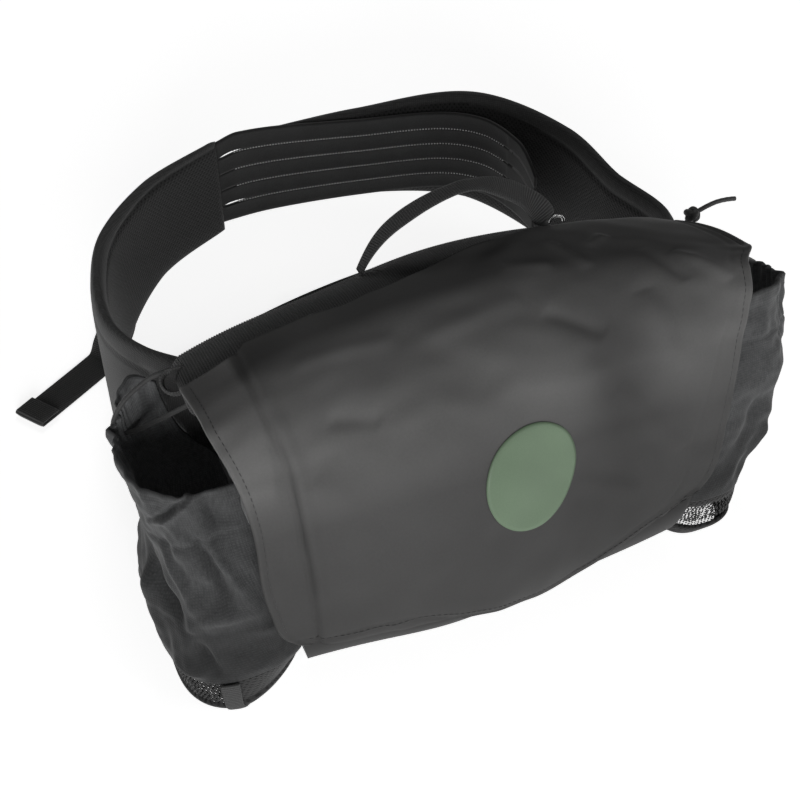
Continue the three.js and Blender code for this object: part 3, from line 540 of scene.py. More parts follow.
FOLDS = [
    ("left_seam_crease", -112, 3.4, 14, 1.2, -3),
    ("front_swell", -38, 4.3, 48, 1.1, 14),
    ("right_hollow", 60, 3.8, 42, 1.1, -9),
    ("crest_dip", -30, 0.9, 40, 0.5, -2),
    ("rear_dip", -60, 0.1, 45, 0.5, -4),
]
FOLD_CENTRE_Z = 85
ROWS = len(PROFILE)
LIP_ROW = 5
LOOPS = {c: [(row.half, *getattr(row, c)) for row in PROFILE] for c in ("mid", "left", "right")}
MIDDLES = [(row.middle, 0, 0) for row in PROFILE]
SKIN_STEP = Values(x=1, t=0.03)


def loop(column, t):
    return spline(LOOPS[column], np.mod(np.asarray(t, float) / ROWS, 1), closed=True)


def body_half(t):
    return loop("mid", t)[..., 0]


def body_middle(t):
    return spline(MIDDLES, np.mod(np.asarray(t, float) / ROWS, 1), closed=True)[..., 0]


def skin(x, t):
    x, t = np.broadcast_arrays(np.asarray(x, float), np.asarray(t, float))
    mid = loop("mid", t)[..., 1:]
    end = np.where((x < 0)[..., None], loop("left", t)[..., 1:], loop("right", t)[..., 1:])
    section = mid + (end - mid) * (np.abs(x / END_X) ** SAG_POWER)[..., None]
    height = dents(FOLDS, x, t)
    outward = unit(section - np.array([0, FOLD_CENTRE_Z]))
    section = section + outward * height[..., None]
    return np.stack([x, section[..., 0], np.maximum(section[..., 1], 0)], axis=-1)


def skin_normal(x, t):
    along_x = skin(x + SKIN_STEP.x, t) - skin(x - SKIN_STEP.x, t)
    along_t = skin(x, t + SKIN_STEP.t) - skin(x, t - SKIN_STEP.t)
    return unit(np.cross(along_t, along_x))


def over_skin(x, t, lift):
    return skin(x, t) + skin_normal(x, t) * np.asarray(lift, float)[..., None]


# Bag body, with the mouth of its compartment left open under the flap

BODY_GRID = Values(across=96, around=180, cap_rings=10, bulge=4)
MOUTH = Values(half=108, from_t=0.68, to_t=1.88)
COATED_ROWS = (2.5, 6.6)
END_CRUMPLE = {"seed": 7, "longest": 46, "shortest": 12, "depth": 0.5}


def make_body():
    s, t = np.meshgrid(np.linspace(-1, 1, BODY_GRID.across + 1),
                       np.linspace(0, ROWS, BODY_GRID.around, endpoint=False), indexing="ij")
    half, middle = body_half(t), body_middle(t)
    points = skin(middle + s * half, t)
    rows, columns = s.shape
    index = np.arange(rows * columns).reshape(rows, columns)
    quads = quads_of(index, wrap=True)
    flat_x = points[..., 0].reshape(-1)
    flat_t = t.reshape(-1)
    in_mouth = (np.abs(flat_x) < MOUTH.half) & (flat_t > MOUTH.from_t) & (flat_t < MOUTH.to_t)
    all_points = [points.reshape(-1, 3)]
    around = lengths_along(np.concatenate([points[rows // 2], points[rows // 2, :1]]))[:-1]
    uvs = [np.stack([flat_x, np.broadcast_to(around, (rows, columns)).reshape(-1)], axis=-1)]
    faces = [quads]
    count = rows * columns
    for end, way in ((0, -1), (rows - 1, 1)):
        edge = points[end]
        bulge = np.array([way * BODY_GRID.bulge, 0, 0])
        centre = edge.mean(axis=0) + bulge
        shares = np.linspace(1, 0, BODY_GRID.cap_rings + 1)[1:-1]
        rings = [centre + (edge - centre) * k + bulge * (1 - k * k) / 2 for k in shares]
        cap = np.concatenate([*rings, centre[None]])
        cap[:, 0] += way * crumple(cap[:, 1], cap[:, 2], **END_CRUMPLE)
        ring_index = count + np.arange(len(rings) * columns).reshape(len(rings), columns)
        tip = np.full((1, columns), count + len(rings) * columns)
        cap_index = np.concatenate([index[end][None], ring_index, tip])
        cap_quads = quads_of(cap_index, wrap=True)
        faces.append(cap_quads if way > 0 else cap_quads[:, ::-1])
        all_points.append(cap)
        uvs.append(cap[:, 1:])
        count += len(cap)
    points = np.concatenate(all_points)
    faces = facing_out(points, np.concatenate(faces))
    last = len(in_mouth) - 1
    faces = faces[~(in_mouth[np.minimum(faces, last)].all(axis=1) & (faces <= last).all(axis=1))]
    uv = np.concatenate(uvs)
    piece = make_mesh("bag_shell", points, faces, WOVEN, uv, replaces=["bag_body"])
    # The front under the flap takes the darker coated cloth, a painted shade.
    piece.data.materials.append(SHADED_LOWER_COATED)
    # The bag's ends take the lighter lining, a painted light.
    piece.data.materials.append(PAINTED_LIGHT_LINING)
    on_skin = (faces <= last).all(axis=1)
    row = flat_t[np.minimum(faces, last)].mean(axis=1)
    coated = (row > COATED_ROWS[0]) & (row < COATED_ROWS[1])
    piece.data.polygons.foreach_set("material_index", np.where(on_skin, coated, 2).astype(np.int32))
    thicken(piece, CLOTH, -1)


make_body()


# Flap

FLAP_LIFT = 2.5
FLAP_REACH = 140
FLAP_CORNER = Values(rows=0.35, inset=12)
FLAP_TOP_CORNER = Values(rows=0.3, inset=7)
FLAP_SIDES = [
    (0.2, 12, 13), (1, 12, 22), (1.8, 7, 12), (2.6, 4, 9.5), (3.4, 3, 4.8), (4.2, 7, 5.3), (5, 9, 5),
]
FLAP_LIP = [
    (-120, 4.98), (-90, 4.96), (-60, 4.8), (-30, 4.8), (0, 5.02), (30, 5.16), (60, 5.03), (90, 4.85),
    (120, 4.6),
]
FLAP_REAR = [(-150, 0.86), (-100, 1), (-50, 1), (0, 0.76), (50, 0.44), (100, 0.3), (150, 0.3)]
FLAP_GRID = Values(across=172, along=150)
HEM = Values(full_to=1.6, ends=3.2, rise=0.4, stitch=3.6, groove=0.35, groove_width=0.9)
LEFT_SEAM = Values(x=-109, drift=4, from_t=1.9, to_t=3.1, groove=1.3, width=0.9, overlap=0.7,
                   lap=(-0.5, 0.8))
SEAM_RIDGE = Values(t=3.0, spread_t=1.35, away=4.2, spread=3.4, height=2.6, lead=1.5)
RIGHT_SEAM = Values(top=10, bottom=17, from_t=2.3, to_t=3.4, groove=0.4, width=0.9)
REAR_STEP = Values(rows=0.09, fade=15, soft=0.8)
# Columns of REAR_ROLL: x, its spread, the rows over which it fades, and its height
REAR_ROLL = [(-82, 34, 0.2, 3.6), (12, 14, 0.25, 2.6)]
ROW_LENGTH = 48
FLAP_DENTS = [
    ("right_swell", 104, 3.0, 12, 0.8, 4),
    ("right_valley", 66, 2.7, 17, 0.75, -3.6),
    ("right_knuckle", 40, 2.6, 14, 0.35, 1.6),
    ("brow_hollow", -40, 1.75, 70, 0.45, -2.4),
    ("left_hollow", -122, 2.9, 9, 0.8, -1.2),
    ("front_dent", -66, 3.7, 16, 0.3, -1.3),
]
FLAP_CRUMPLE = {"seed": 4, "longest": 70, "shortest": 18, "depth": 0.22}
FLAP_CREASES = [
    (20, 60, 46, 66, 4, 1.5), (52, 40, 64, 72, 4, 1.3), (70, 52, 84, 40, 3.5, 1.2),
    (84, 96, 92, 150, 6, 1.6), (30, 96, 58, 118, 5, -1.3), (-90, 78, -40, 86, 6, 1.2),
    (-30, 92, 24, 84, 7, 1.2), (60, 150, 96, 196, 6, 1.2), (-96, 150, -70, 190, 6, 0.9),
    (-60, 210, -10, 196, 6, -0.9), (30, 196, 70, 216, 5, 0.9), (110, 66, 132, 100, 5, 1.4),
    (96, 60, 108, 96, 4, -1.1), (-84, 120, -60, 132, 5, -0.9),
]
DISC = Values(x=5.8, t=3.76, radius=27.5, thickness=0.6, edge=1.2, drop=0.5, rings=16, sides=120, passes=12)
# Painted shade and light on the flap's coating: paleness by row t, a darker right hollow, a darker top and
# a paler left strip.
FLAP_PAINTED_SHADE = ((0.3, 0.3), (1.3, 0.28), (1.75, 0.85), (2.9, 0.86), (3.6, 0.27), (5.2, 0.03))
PAINTED_HOLLOW_SHADE = ("hollow", 62, 2.7, 26, 0.9, -0.6)
PAINTED_TOP_SHADE = Values(from_x=10, to_x=90, from_t=1.3, to_t=1.6, depth=0.2)
PAINTED_SIDE_LIGHT = Values(x=-111, soft=4, from_t=2.6, to_t=3.4, gain=0.7)


def line_through(table, column, at):
    """A column of a table at places between its evenly spaced rows."""
    first, last = table[0][0], table[-1][0]
    share = (np.asarray(at, float) - first) / (last - first)
    return spline([(row[column], 0, 0) for row in table], share)[..., 0]


def flap_rear(x):
    past_seam = x - LEFT_SEAM.x
    lap = REAR_STEP.rows * np.exp(-np.maximum(past_seam, 0) / REAR_STEP.fade)
    return line_through(FLAP_REAR, 1, x) - lap * step(past_seam, -REAR_STEP.soft, REAR_STEP.soft)


def flap_lip(s):
    return line_through(FLAP_LIP, 1, s * body_half(LIP_ROW))


def rounding(into, inset):
    return inset * (1 - np.sqrt(1 - np.clip(into, 0, 1) ** 2))


def flap_x(s, t):
    """x at the share s, from -1 at the flap's left edge to 1 at its right one."""
    inset = rounding((t - flap_lip(s)) / FLAP_CORNER.rows + 1, FLAP_CORNER.inset)
    behind = t - flap_rear(s * FLAP_REACH)
    top = rounding(1 - behind / FLAP_TOP_CORNER.rows, FLAP_TOP_CORNER.inset)
    left = line_through(FLAP_SIDES, 1, t)
    right = line_through(FLAP_SIDES, 2, t) - top
    return body_middle(t) + s * (body_half(t) + np.where(s < 0, left, right) - inset)


def flap_place(u, v):
    """x and t of a point of the flap, u across and v from the rear edge to the lip."""
    s = 2 * u - 1
    rear = flap_rear(s * FLAP_REACH)
    t = rear + (flap_lip(s) - rear) * v
    return flap_x(s, t), t


def flap_edges(t):
    """x of the flap's left and right edges."""
    return flap_x(np.full_like(t, -1), t), flap_x(np.ones_like(t), t)


def creases(table, x, y):
    """Narrow folds, each from one place to another with a width and a height."""
    height = np.zeros(np.broadcast(x, y).shape)
    for x0, y0, x1, y1, width, rise in table:
        dx, dy = x1 - x0, y1 - y0
        share = np.clip(((x - x0) * dx + (y - y0) * dy) / (dx * dx + dy * dy), 0, 1)
        gap = np.hypot(x - x0 - share * dx, y - y0 - share * dy)
        height = height + rise * np.exp(-((gap / width) ** 2)) * (1 - (2 * share - 1) ** 6)
    return height


def flap_relief(x, t):
    """Height of the flap's hems, seams and dents over its plain surface."""
    left, right = flap_edges(t)
    share = np.clip((2 * x - left - right) / (right - left), -1, 1)
    lip_gap = (flap_lip(share) - t) * ROW_LENGTH
    height = dents(FLAP_DENTS, x, t) + crumple(x, t * ROW_LENGTH, **FLAP_CRUMPLE)
    height = height + creases(FLAP_CREASES, x, t * ROW_LENGTH)
    for gap in (x - left, right - x, lip_gap):
        height = height + HEM.rise * (1 - step(gap, HEM.full_to, HEM.ends))
        height = height - HEM.groove * bump(gap, HEM.stitch, HEM.groove_width)
    away = x - LEFT_SEAM.x - LEFT_SEAM.drift * step(t, LEFT_SEAM.from_t, LEFT_SEAM.to_t)
    height = height - LEFT_SEAM.groove * bump(away, 0, LEFT_SEAM.width)
    height = height + LEFT_SEAM.overlap * step(away, *LEFT_SEAM.lap)
    ridge = SEAM_RIDGE.height * bump(t, SEAM_RIDGE.t, SEAM_RIDGE.spread_t)
    ridge = ridge * step(away, 0, SEAM_RIDGE.lead)
    height = height + ridge * bump(away, SEAM_RIDGE.away, SEAM_RIDGE.spread)
    gap = mix(RIGHT_SEAM.top, RIGHT_SEAM.bottom, step(t, RIGHT_SEAM.from_t, RIGHT_SEAM.to_t))
    height = height - RIGHT_SEAM.groove * bump(right - x, gap, RIGHT_SEAM.width)
    behind = np.maximum(t - flap_rear(x), 0)
    for middle, spread, rows, rise in REAR_ROLL:
        height = height + rise * bump(x, middle, spread) * np.exp(-behind / rows)
    return height


def over_flap(x, t, lift):
    return over_skin(x, t, lift + flap_relief(x, t))


def flap_painted_shade(x, t):
    """Painted shade on the flap's coating, from 0 where it is darkest to 1 where it is plain: darker on the
    top, towards the lip and in the right hollow, and paler on the left strip as painted light.
    """
    painted_shade = np.interp(t, *zip(*FLAP_PAINTED_SHADE))
    hollow = dents([PAINTED_HOLLOW_SHADE], x, t)
    side = step(PAINTED_SIDE_LIGHT.x - x, 0, PAINTED_SIDE_LIGHT.soft) * (1 - step(t, PAINTED_SIDE_LIGHT.from_t, PAINTED_SIDE_LIGHT.to_t))
    top = 1 - step(t, PAINTED_TOP_SHADE.from_t, PAINTED_TOP_SHADE.to_t)
    top = PAINTED_TOP_SHADE.depth * top * (1 - step(x, PAINTED_TOP_SHADE.from_x, PAINTED_TOP_SHADE.to_x))
    return np.clip(painted_shade + hollow - top + PAINTED_SIDE_LIGHT.gain * side, 0, 1)


def make_flap():
    u, v = grid(FLAP_GRID.across, FLAP_GRID.along)
    x, t = flap_place(u, v)
    relief = flap_relief(x, t)
    outer = over_skin(x, t, FLAP_LIFT + COATED_CLOTH + relief)
    inner = over_skin(x, t, FLAP_LIFT + relief)
    uv = np.stack([x, t * ROW_LENGTH], axis=-1)
    # The mark paints shade and light into the flap's colour.
    points, faces, uv, marks = closed_sheet(outer, inner, uv, {"painted_shade": flap_painted_shade(x, t)})
    return make_mesh("flap_cloth", points, faces, COATED, uv, marks, replaces=["flap"])


def disc_places(radius, angle):
    """x and t of the round patch's points, from a flat circle that touches the skin at its middle."""
    x, t = np.full_like(radius, DISC.x), np.full_like(radius, DISC.t)
    middle = skin(x[0, 0], t[0, 0])
    row = skin(x[0, 0], t[0, 0] - 1) - middle
    stride = skin(x[0, 0] + 1, t[0, 0]) - middle
    across = unit(stride)
    up = np.cross(skin_normal(x[0, 0], t[0, 0]), across)
    beside, above = (radius * turn(angle) for turn in (np.cos, np.sin))
    target = middle + across * beside[..., None] + up * above[..., None]
    for _ in range(DISC.passes):
        off = target - skin(x, t)
        x = x + off @ across / np.linalg.norm(stride)
        t = t - off @ up / (row @ up)
    return x, t


def make_disc():
    low = FLAP_LIFT + COATED_CLOTH + SEAM_GAP / 2
    radii = np.linspace(0, DISC.radius, DISC.rings + 1)
    angles = np.linspace(0, 2 * np.pi, DISC.sides, endpoint=False)
    radius, angle = np.meshgrid(radii, angles, indexing="ij")
    x, t = disc_places(radius, angle)
    edge = step(radius, DISC.radius - DISC.edge, DISC.radius)
    top = over_flap(x, t, low + DISC.thickness * (1 - DISC.drop * edge))
    bottom = over_flap(x, t, np.full_like(x, low))
    points, faces = loft(np.concatenate([bottom[1:], top[:0:-1]]), bottom[0, 0], top[0, 0])
    uv = points[:, [0, 2]]
    return make_mesh("round_patch", points, faces, PRINT, uv, replaces=["flap_disc"])


flap_piece = make_flap()
disc_piece = make_disc()


# Stitches: short threads laid along a line

STITCH = Values(sides=6, reach=0.5)
STITCH_CAP = np.array([(0, 1, 2, 3), (0, 3, 4, 5)])
THREAD_ENDS = np.array([(-0.5, 0.25), (-0.32, 1.0), (0.0, 1.1), (0.32, 1.0), (0.5, 0.25)])


def make_stitches(name, lines, material, slot, pitch=3.2, length=2.3, radius=0.26):
    """One mesh of all the stitches along lines, each a pair of its points and the directions up there."""
    angles = np.linspace(0, 2 * np.pi, STITCH.sides, endpoint=False)[:, None]
    share, width = THREAD_ENDS.T
    index = np.arange(len(share) * STITCH.sides).reshape(-1, STITCH.sides)
    caps = [index[0][STITCH_CAP[:, ::-1]], index[-1][STITCH_CAP]]
    one = np.concatenate([quads_of(index, wrap=True), *caps])
    threads = []
    for path, normals in lines:
        along = lengths_along(path)
        places = np.arange(pitch / 2, along[-1], pitch)
        up = unit(between(places, along, normals))[:, None]
        ahead = between(np.minimum(places + STITCH.reach, along[-1]), along, path)
        behind = between(np.maximum(places - STITCH.reach, 0), along, path)
        forward = unit(ahead - behind)[:, None]
        spokes = np.cross(forward, up) * np.cos(angles) + up * np.sin(angles)
        middle = between(places, along, path)[:, None] + forward * (share * length)[:, None]
        threads.append(middle[:, :, None] + spokes[:, None] * (radius * width)[:, None, None])
    points = np.concatenate(threads).reshape(-1, 3)
    faces = np.arange(0, len(points), index.size)[:, None, None] + one
    return make_mesh(name, points, faces.reshape(-1, 4), material)


def flap_line(x, t, lift=0.1):
    """A line on the flap's outer face, with its normals."""
    return over_flap(x, t, FLAP_LIFT + COATED_CLOTH + lift + np.zeros_like(t)), skin_normal(x, t)


FLAP_STITCH = Values(steps=160, left_t=1.0, right_t=0.7, above_lip=0.25, reach=0.93, radius=0.2)


def make_flap_stitches():
    inside = HEM.stitch / FLAP_REACH
    lines = []
    for s, first in ((inside - 1, FLAP_STITCH.left_t), (1 - inside, FLAP_STITCH.right_t)):
        t = np.linspace(first, float(flap_lip(np.array(s))) - FLAP_STITCH.above_lip, FLAP_STITCH.steps)
        lines.append(flap_line(flap_x(np.full_like(t, s), t), t))
    s = np.linspace(-FLAP_STITCH.reach, FLAP_STITCH.reach, FLAP_STITCH.steps)
    t = flap_lip(s) - HEM.stitch / ROW_LENGTH
    lines.append(flap_line(flap_x(s, t), t))
    return make_stitches("flap_stitches", lines, GREY_THREAD, "coated", radius=FLAP_STITCH.radius)


make_flap_stitches()


# Ribbed webbing: ribbons whose ribs run across them

RIB = Values(depth=0.28, per_pitch=5, fewest=8, rim=0.35, rim_power=6, fade_power=8)
WEBBING_EDGE = 0.3


def make_webbing(name, outer, inner, uv, replaces=()):
    points, faces, uv, _ = closed_sheet(outer, inner, uv, edge=WEBBING_EDGE)
    make_mesh(name, points, faces, WEBBING_CLOTH, uv, replaces=replaces)


def make_ribbon(name, path, across, up, width, replaces, rows=10):
    """A webbing ribbon along a path, with its ribs as geometry. width may vary along it."""
    along = lengths_along(path)
    v = np.linspace(-0.5, 0.5, rows + 1)
    beside = v * np.broadcast_to(width, along.shape)[:, None]
    middle = path[:, None] + across[:, None] * beside[..., None]
    ribs = RIB.depth * np.sin(2 * np.pi * along / RIB_PITCH)[:, None]
    ribs = ribs * (1 - np.abs(2 * v) ** RIB.fade_power)
    rise = WEBBING / 2 * (1 - RIB.rim * np.abs(2 * v) ** RIB.rim_power) + ribs
    offset = up[:, None] * rise[..., None]
    uv = np.stack(np.broadcast_arrays(along[:, None], beside), axis=-1)
    make_webbing(name, middle + offset, middle - offset, uv, replaces)


def evenly(path):
    """A path's points set evenly along it, close enough for its ribs."""
    along = lengths_along(path)
    count = max(int(along[-1] / RIB_PITCH * RIB.per_pitch), RIB.fewest)
    return between(np.linspace(0, along[-1], count), along, path)


def make_strap(name, path, up, across, width, replaces, rows=10):
    """A ribbon with its path and directions set evenly first."""
    full = evenly(np.concatenate([path, up, across], axis=1))
    make_ribbon(name, full[:, :3], unit(full[:, 6:]), unit(full[:, 3:6]), width, replaces, rows)


TAPE = Values(half=133, t_rear=0.02, t_front=1.08, along=14, per_pitch=4, row_length=30)
CORD_LOOP = Values(radius=6, lead=8, turn=240, share=0.42, turn_steps=90, lead_steps=16)
LOOP_TILT = Values(left=25, right=0)
TAPE_LIFT = SEAM_GAP
TAPE_END = Values(from_v=0.44, radius=7, turn=125, steps=48)


def make_tape():
    columns = int(2 * TAPE.half / RIB_PITCH * TAPE.per_pitch)
    u, v = grid(columns, TAPE.along)
    t = TAPE.t_rear + (TAPE.t_front - TAPE.t_rear) * v
    x = body_middle(0.0) + (2 * u - 1) * TAPE.half
    ribs = RIB.depth * np.sin(2 * np.pi * x / RIB_PITCH)
    normal = skin_normal(x, t)
    base = skin(x, t)
    outer = base + normal * (TAPE_LIFT + WEBBING + ribs)[..., None]
    inner = base + normal * TAPE_LIFT
    make_webbing("rear_tape", outer, inner, np.stack([x, t * TAPE.row_length], axis=-1), ["top_tape"])


def make_roll(name, side, tilt_angle, replaces):
    """The tape's end, rolled into a channel for the cord."""
    x = np.array(body_middle(0.0) + side * TAPE.half)
    lift = np.array(TAPE_LIFT + WEBBING / 2)
    rear = over_skin(x, np.array(TAPE.t_rear), lift)
    front = over_skin(x, np.array(mix(TAPE.t_rear, TAPE.t_front, CORD_LOOP.share)), lift)
    middle = (rear + front) / 2
    width = np.linalg.norm(front - rear)
    across = unit(front - rear)
    along = unit(rear - over_skin(x - side, np.array(TAPE.t_rear), lift))
    up = unit(np.cross(along, across) * -side)
    out = np.cross(across, up) * -side
    tilt = math.radians(tilt_angle)
    axis = across * math.cos(tilt) + up * math.sin(tilt)
    top = up * math.cos(tilt) - across * math.sin(tilt)
    centre = middle + out * CORD_LOOP.lead - top * CORD_LOOP.radius
    turn = np.radians(np.linspace(0, CORD_LOOP.turn, CORD_LOOP.turn_steps))
    radial = top * np.cos(turn)[:, None] + out * np.sin(turn)[:, None]
    arc = centre + radial * CORD_LOOP.radius
    start = middle + out * SEAM_GAP
    lead_share = np.linspace(0, 1, CORD_LOOP.lead_steps)[:-1, None]
    lead = start + (arc[0] - start) * lead_share
    path = np.concatenate([lead, arc])
    ups = np.concatenate([unit(up + (radial[0] - up) * lead_share), radial])
    lead_sides = unit(across + (axis - across) * lead_share)
    sides = np.concatenate([lead_sides, np.broadcast_to(axis, radial.shape)])
    make_strap(name, path, ups, sides, width, replaces)


def make_tape_end():
    """The front part of the tape's left end, turned down over the bag's corner."""
    t = mix(TAPE.t_rear, TAPE.t_front, np.linspace(TAPE_END.from_v, 1, TAPE.along))
    x = np.full_like(t, body_middle(0.0) - TAPE.half)
    lift = np.full_like(t, TAPE_LIFT + WEBBING / 2)
    start = over_skin(x, t, lift)
    normal = skin_normal(x, t)
    out = unit(start - over_skin(x + 1, t, lift))
    angle = np.radians(np.linspace(0, TAPE_END.turn, TAPE_END.steps))[:, None, None]
    facing = normal * np.cos(angle) + out * np.sin(angle)
    middle = start + (facing - normal) * TAPE_END.radius
    along = (angle * TAPE_END.radius)[..., 0] + np.zeros_like(t)
    rise = (WEBBING / 2 + RIB.depth * np.sin(2 * np.pi * along / RIB_PITCH))[..., None]
    uv = np.stack([along, t * TAPE.row_length + np.zeros_like(along)], axis=-1)
    make_webbing("left_tape_end", middle + facing * rise, middle - facing * WEBBING / 2, uv)


make_tape()
make_tape_end()
make_roll("left_tape_roll", -1, LOOP_TILT.left, ["left_cord_loop"])
make_roll("right_tape_roll", 1, LOOP_TILT.right, ["right_cord_loop"])


# Handle and wire bow

HANDLE = Values(middle=13, half_span=51, rise=27, skew=9, power=1.55, y=50, lean=2, steps=300)
HANDLE_TWIST = ((0, 10), (0.3, 8), (0.5, 13), (0.6, 6), (0.7, -22), (0.8, -38), (0.9, -52), (1, -62))
HANDLE_TAPE = Values(width=13, clearance=1.2, pinch=0.45, pinch_spread=0.16)
HANDLE_FOOT = Values(height=0.6, row=0.14, forward=6)
RING = Values(x=73, y=49.5, radius=4, legs=0.2, wire=1.4, steps=60, sides=20)


def make_handle():
    s = -np.cos(np.linspace(0, np.pi, HANDLE.steps))
    height = (1 - np.abs(s) ** HANDLE.power) ** (1 / HANDLE.power)
    x = HANDLE.middle + HANDLE.half_span * s + HANDLE.skew * height
    held = 1 - step(height, 0, HANDLE_FOOT.height)
    lift = TAPE_LIFT + 2 * WEBBING + HANDLE_TAPE.clearance * (1 - held)
    foot = skin(x, HANDLE_FOOT.row * held)[:, 2] + lift
    y = HANDLE.y + HANDLE.lean * height - HANDLE_FOOT.forward * held
    path = np.stack([x, y, foot + HANDLE.rise * height], axis=-1)
    path = evenly(path)
    share = np.linspace(0, 1, len(path))
    tilt = np.radians(np.interp(share, *zip(*HANDLE_TWIST)))
    side = np.stack([np.zeros_like(tilt), np.cos(tilt), -np.sin(tilt)], axis=-1)
    tangents = unit(np.gradient(path, axis=0))
    up = unit(np.cross(tangents, side))
    across = unit(np.cross(up, tangents))
    width = HANDLE_TAPE.width * (1 - HANDLE_TAPE.pinch * bump(share, 0, HANDLE_TAPE.pinch_spread))
    make_ribbon("carry_handle", path, across, up, width, ["handle"])


def make_ring():
    foot = skin(np.array(RING.x), np.array(0.0))[2] + TAPE_LIFT + WEBBING + SEAM_GAP
    angle = np.linspace(0, np.pi, RING.steps)
    rise = RING.radius * (RING.legs + np.sin(angle))
    x = RING.x - RING.radius * np.cos(angle)
    path = np.stack([x, np.full_like(angle, RING.y), foot + rise], axis=-1)
    points, faces, uv = tube(path, RING.wire / 2, RING.sides)
    make_mesh("wire_bow", points, faces, STEEL, uv, replaces=["pull_ring"])


make_handle()
make_ring()


# Belt wings and the ladder panel between them

WING_SEAM = Values(x=112, low=14, high=100, tuck=0.2, rows=(9.0, 9.5, 10.0))
LEFT_WING = [
    (-124, 60, 8, 121), (-143, 88, 2, 115), (-153.5, 130, 0, 105), (-150, 178, 0, 101),
    (-136, 218, 15, 102), (-101, 251, 37, 108), (-52, 271, 46, 113),
]
RIGHT_WING = [
    (128, 58, 8, 105), (166, 82, 2, 103), (183, 116, 0, 97), (174, 160, 0, 98),
    (164, 213, 10, 105), (119, 265, 32, 113), (50, 283, 42, 107), (-19, 288, 44, 103),
]
WING_GRID = Values(along=180, face=48, spacing_power=0.8)
WING_BORDER = Values(wide=11, narrow=4, narrows=(0.55, 0.9), groove=1.2, groove_width=1.3, lowest=-0.97)
WING_TIP = Values(taper=55, thin=0.3, round=4, least=0.02)
EDGE_POWER = 8
TANGENT_STEP = 1e-4
FACE_POWER = 2.5


def with_seam(rows, side):
    x = np.array(side * WING_SEAM.x, float)
    back = max(skin(x, np.array(t))[1] for t in WING_SEAM.rows)
    return [(float(x), back + PADDING / 2 - WING_SEAM.tuck, WING_SEAM.low, WING_SEAM.high), *rows]


def belt_frame(rows, u, side):
    """Middle, outward direction and lower and upper edge of a belt piece at the shares u of its length."""
    plan = [(row[0], row[1], 0) for row in rows]
    edges = spline([(row[2], row[3], 0) for row in rows], u)
    middle = spline(plan, u)
    ahead = spline(plan, np.clip(u + TANGENT_STEP, 0, 1))
    behind = spline(plan, np.clip(u - TANGENT_STEP, 0, 1))
    along = unit(ahead - behind)
    out = np.stack([along[..., 1], -along[..., 0], np.zeros_like(u)], axis=-1) * side
    return middle, out, np.maximum(edges[..., 0], 0), edges[..., 1]


def make_wing(name, rows, side, replaces):
    u = np.linspace(0, 1, WING_GRID.along + 1)
    middle, out, low, high = belt_frame(rows, u, side)
    spread = np.sin(np.linspace(-np.pi / 2, np.pi / 2, WING_GRID.face + 1))
    face = np.sign(spread) * np.abs(spread) ** WING_GRID.spacing_power
    zeta = np.concatenate([face, face[-2:0:-1]])
    way = np.concatenate([-np.ones(len(face)), np.ones(len(face) - 2)])
    reach = PADDING / 2 * (1 - np.abs(zeta) ** EDGE_POWER) ** (1 / FACE_POWER)
    half = (high - low) / 2
    z = ((high + low) / 2)[:, None] + half[:, None] * zeta[None, :]
    along = lengths_along(middle)
    to_tip = along[-1] - along
    top_gap = half[:, None] * (1 - zeta)[None, :]
    border = mix(WING_BORDER.wide, WING_BORDER.narrow, step(u, *WING_BORDER.narrows))[:, None]
    groove = WING_BORDER.groove * bump(top_gap, border, WING_BORDER.groove_width) * (reach > 2)
    thin = mix(1, WING_TIP.thin, 1 - step(to_tip, 0, WING_TIP.taper))[:, None]
    into_tip = 1 - np.clip(to_tip / WING_TIP.round, 0, 1)
    round_tip = np.sqrt(np.clip(1 - into_tip ** 2, WING_TIP.least, 1))[:, None]
    thick = reach[None, :] * np.where(way < 0, thin, 1) * round_tip - groove * thin
    ring = middle[:, None] + out[:, None] * (way[None, :] * thick)[..., None]
    ring[..., 2] = z
    points, faces = loft(ring, ring[0].mean(axis=0), ring[-1].mean(axis=0))
    uv = np.stack(np.broadcast_arrays(along[:, None], z), axis=-1).reshape(-1, 2)
    panel = (top_gap > border) & ((way < 0) & (zeta > WING_BORDER.lowest))[None, :]
    panel = np.concatenate([panel.reshape(-1).astype(float), [0, 0]])
    uv = np.concatenate([uv, uv[:1], uv[-1:]])
    piece = make_mesh(name, points, faces, SPACER_MESH, uv, {"panel": panel}, replaces)


LEFT_ROWS = with_seam(LEFT_WING, -1)
RIGHT_ROWS = with_seam(RIGHT_WING, 1)
make_wing("left_belt_wing", LEFT_ROWS, -1, ["left_wing"])
make_wing("right_belt_wing", RIGHT_ROWS, 1, ["right_wing"])

CLOSURE = [
    (-56, 277, 48, 112), (-19, 281, 47, 109), (50, 275, 46, 103), (102, 262, 46, 103),
    (123, 246, 45, 102), (134, 222, 43, 98), (137, 197, 42, 92),
]
PANEL = Values(thickness=2, bands=5, columns=260, per_band=8, from_u=0.03, to_u=0.8, fade=0.02, belly=0.5)
PANEL_TOP = Values(corner=9, corner_from=0.85, corner_length=0.15, tuck=5, tuck_to=0.1)
SLIT = Values(width=0.25, open_width=2.2, open_to=0.075, closes=0.06, open_at=(1, 4))
PANEL_STITCH = {"pitch": 1.9, "length": 1.1, "radius": 0.42}


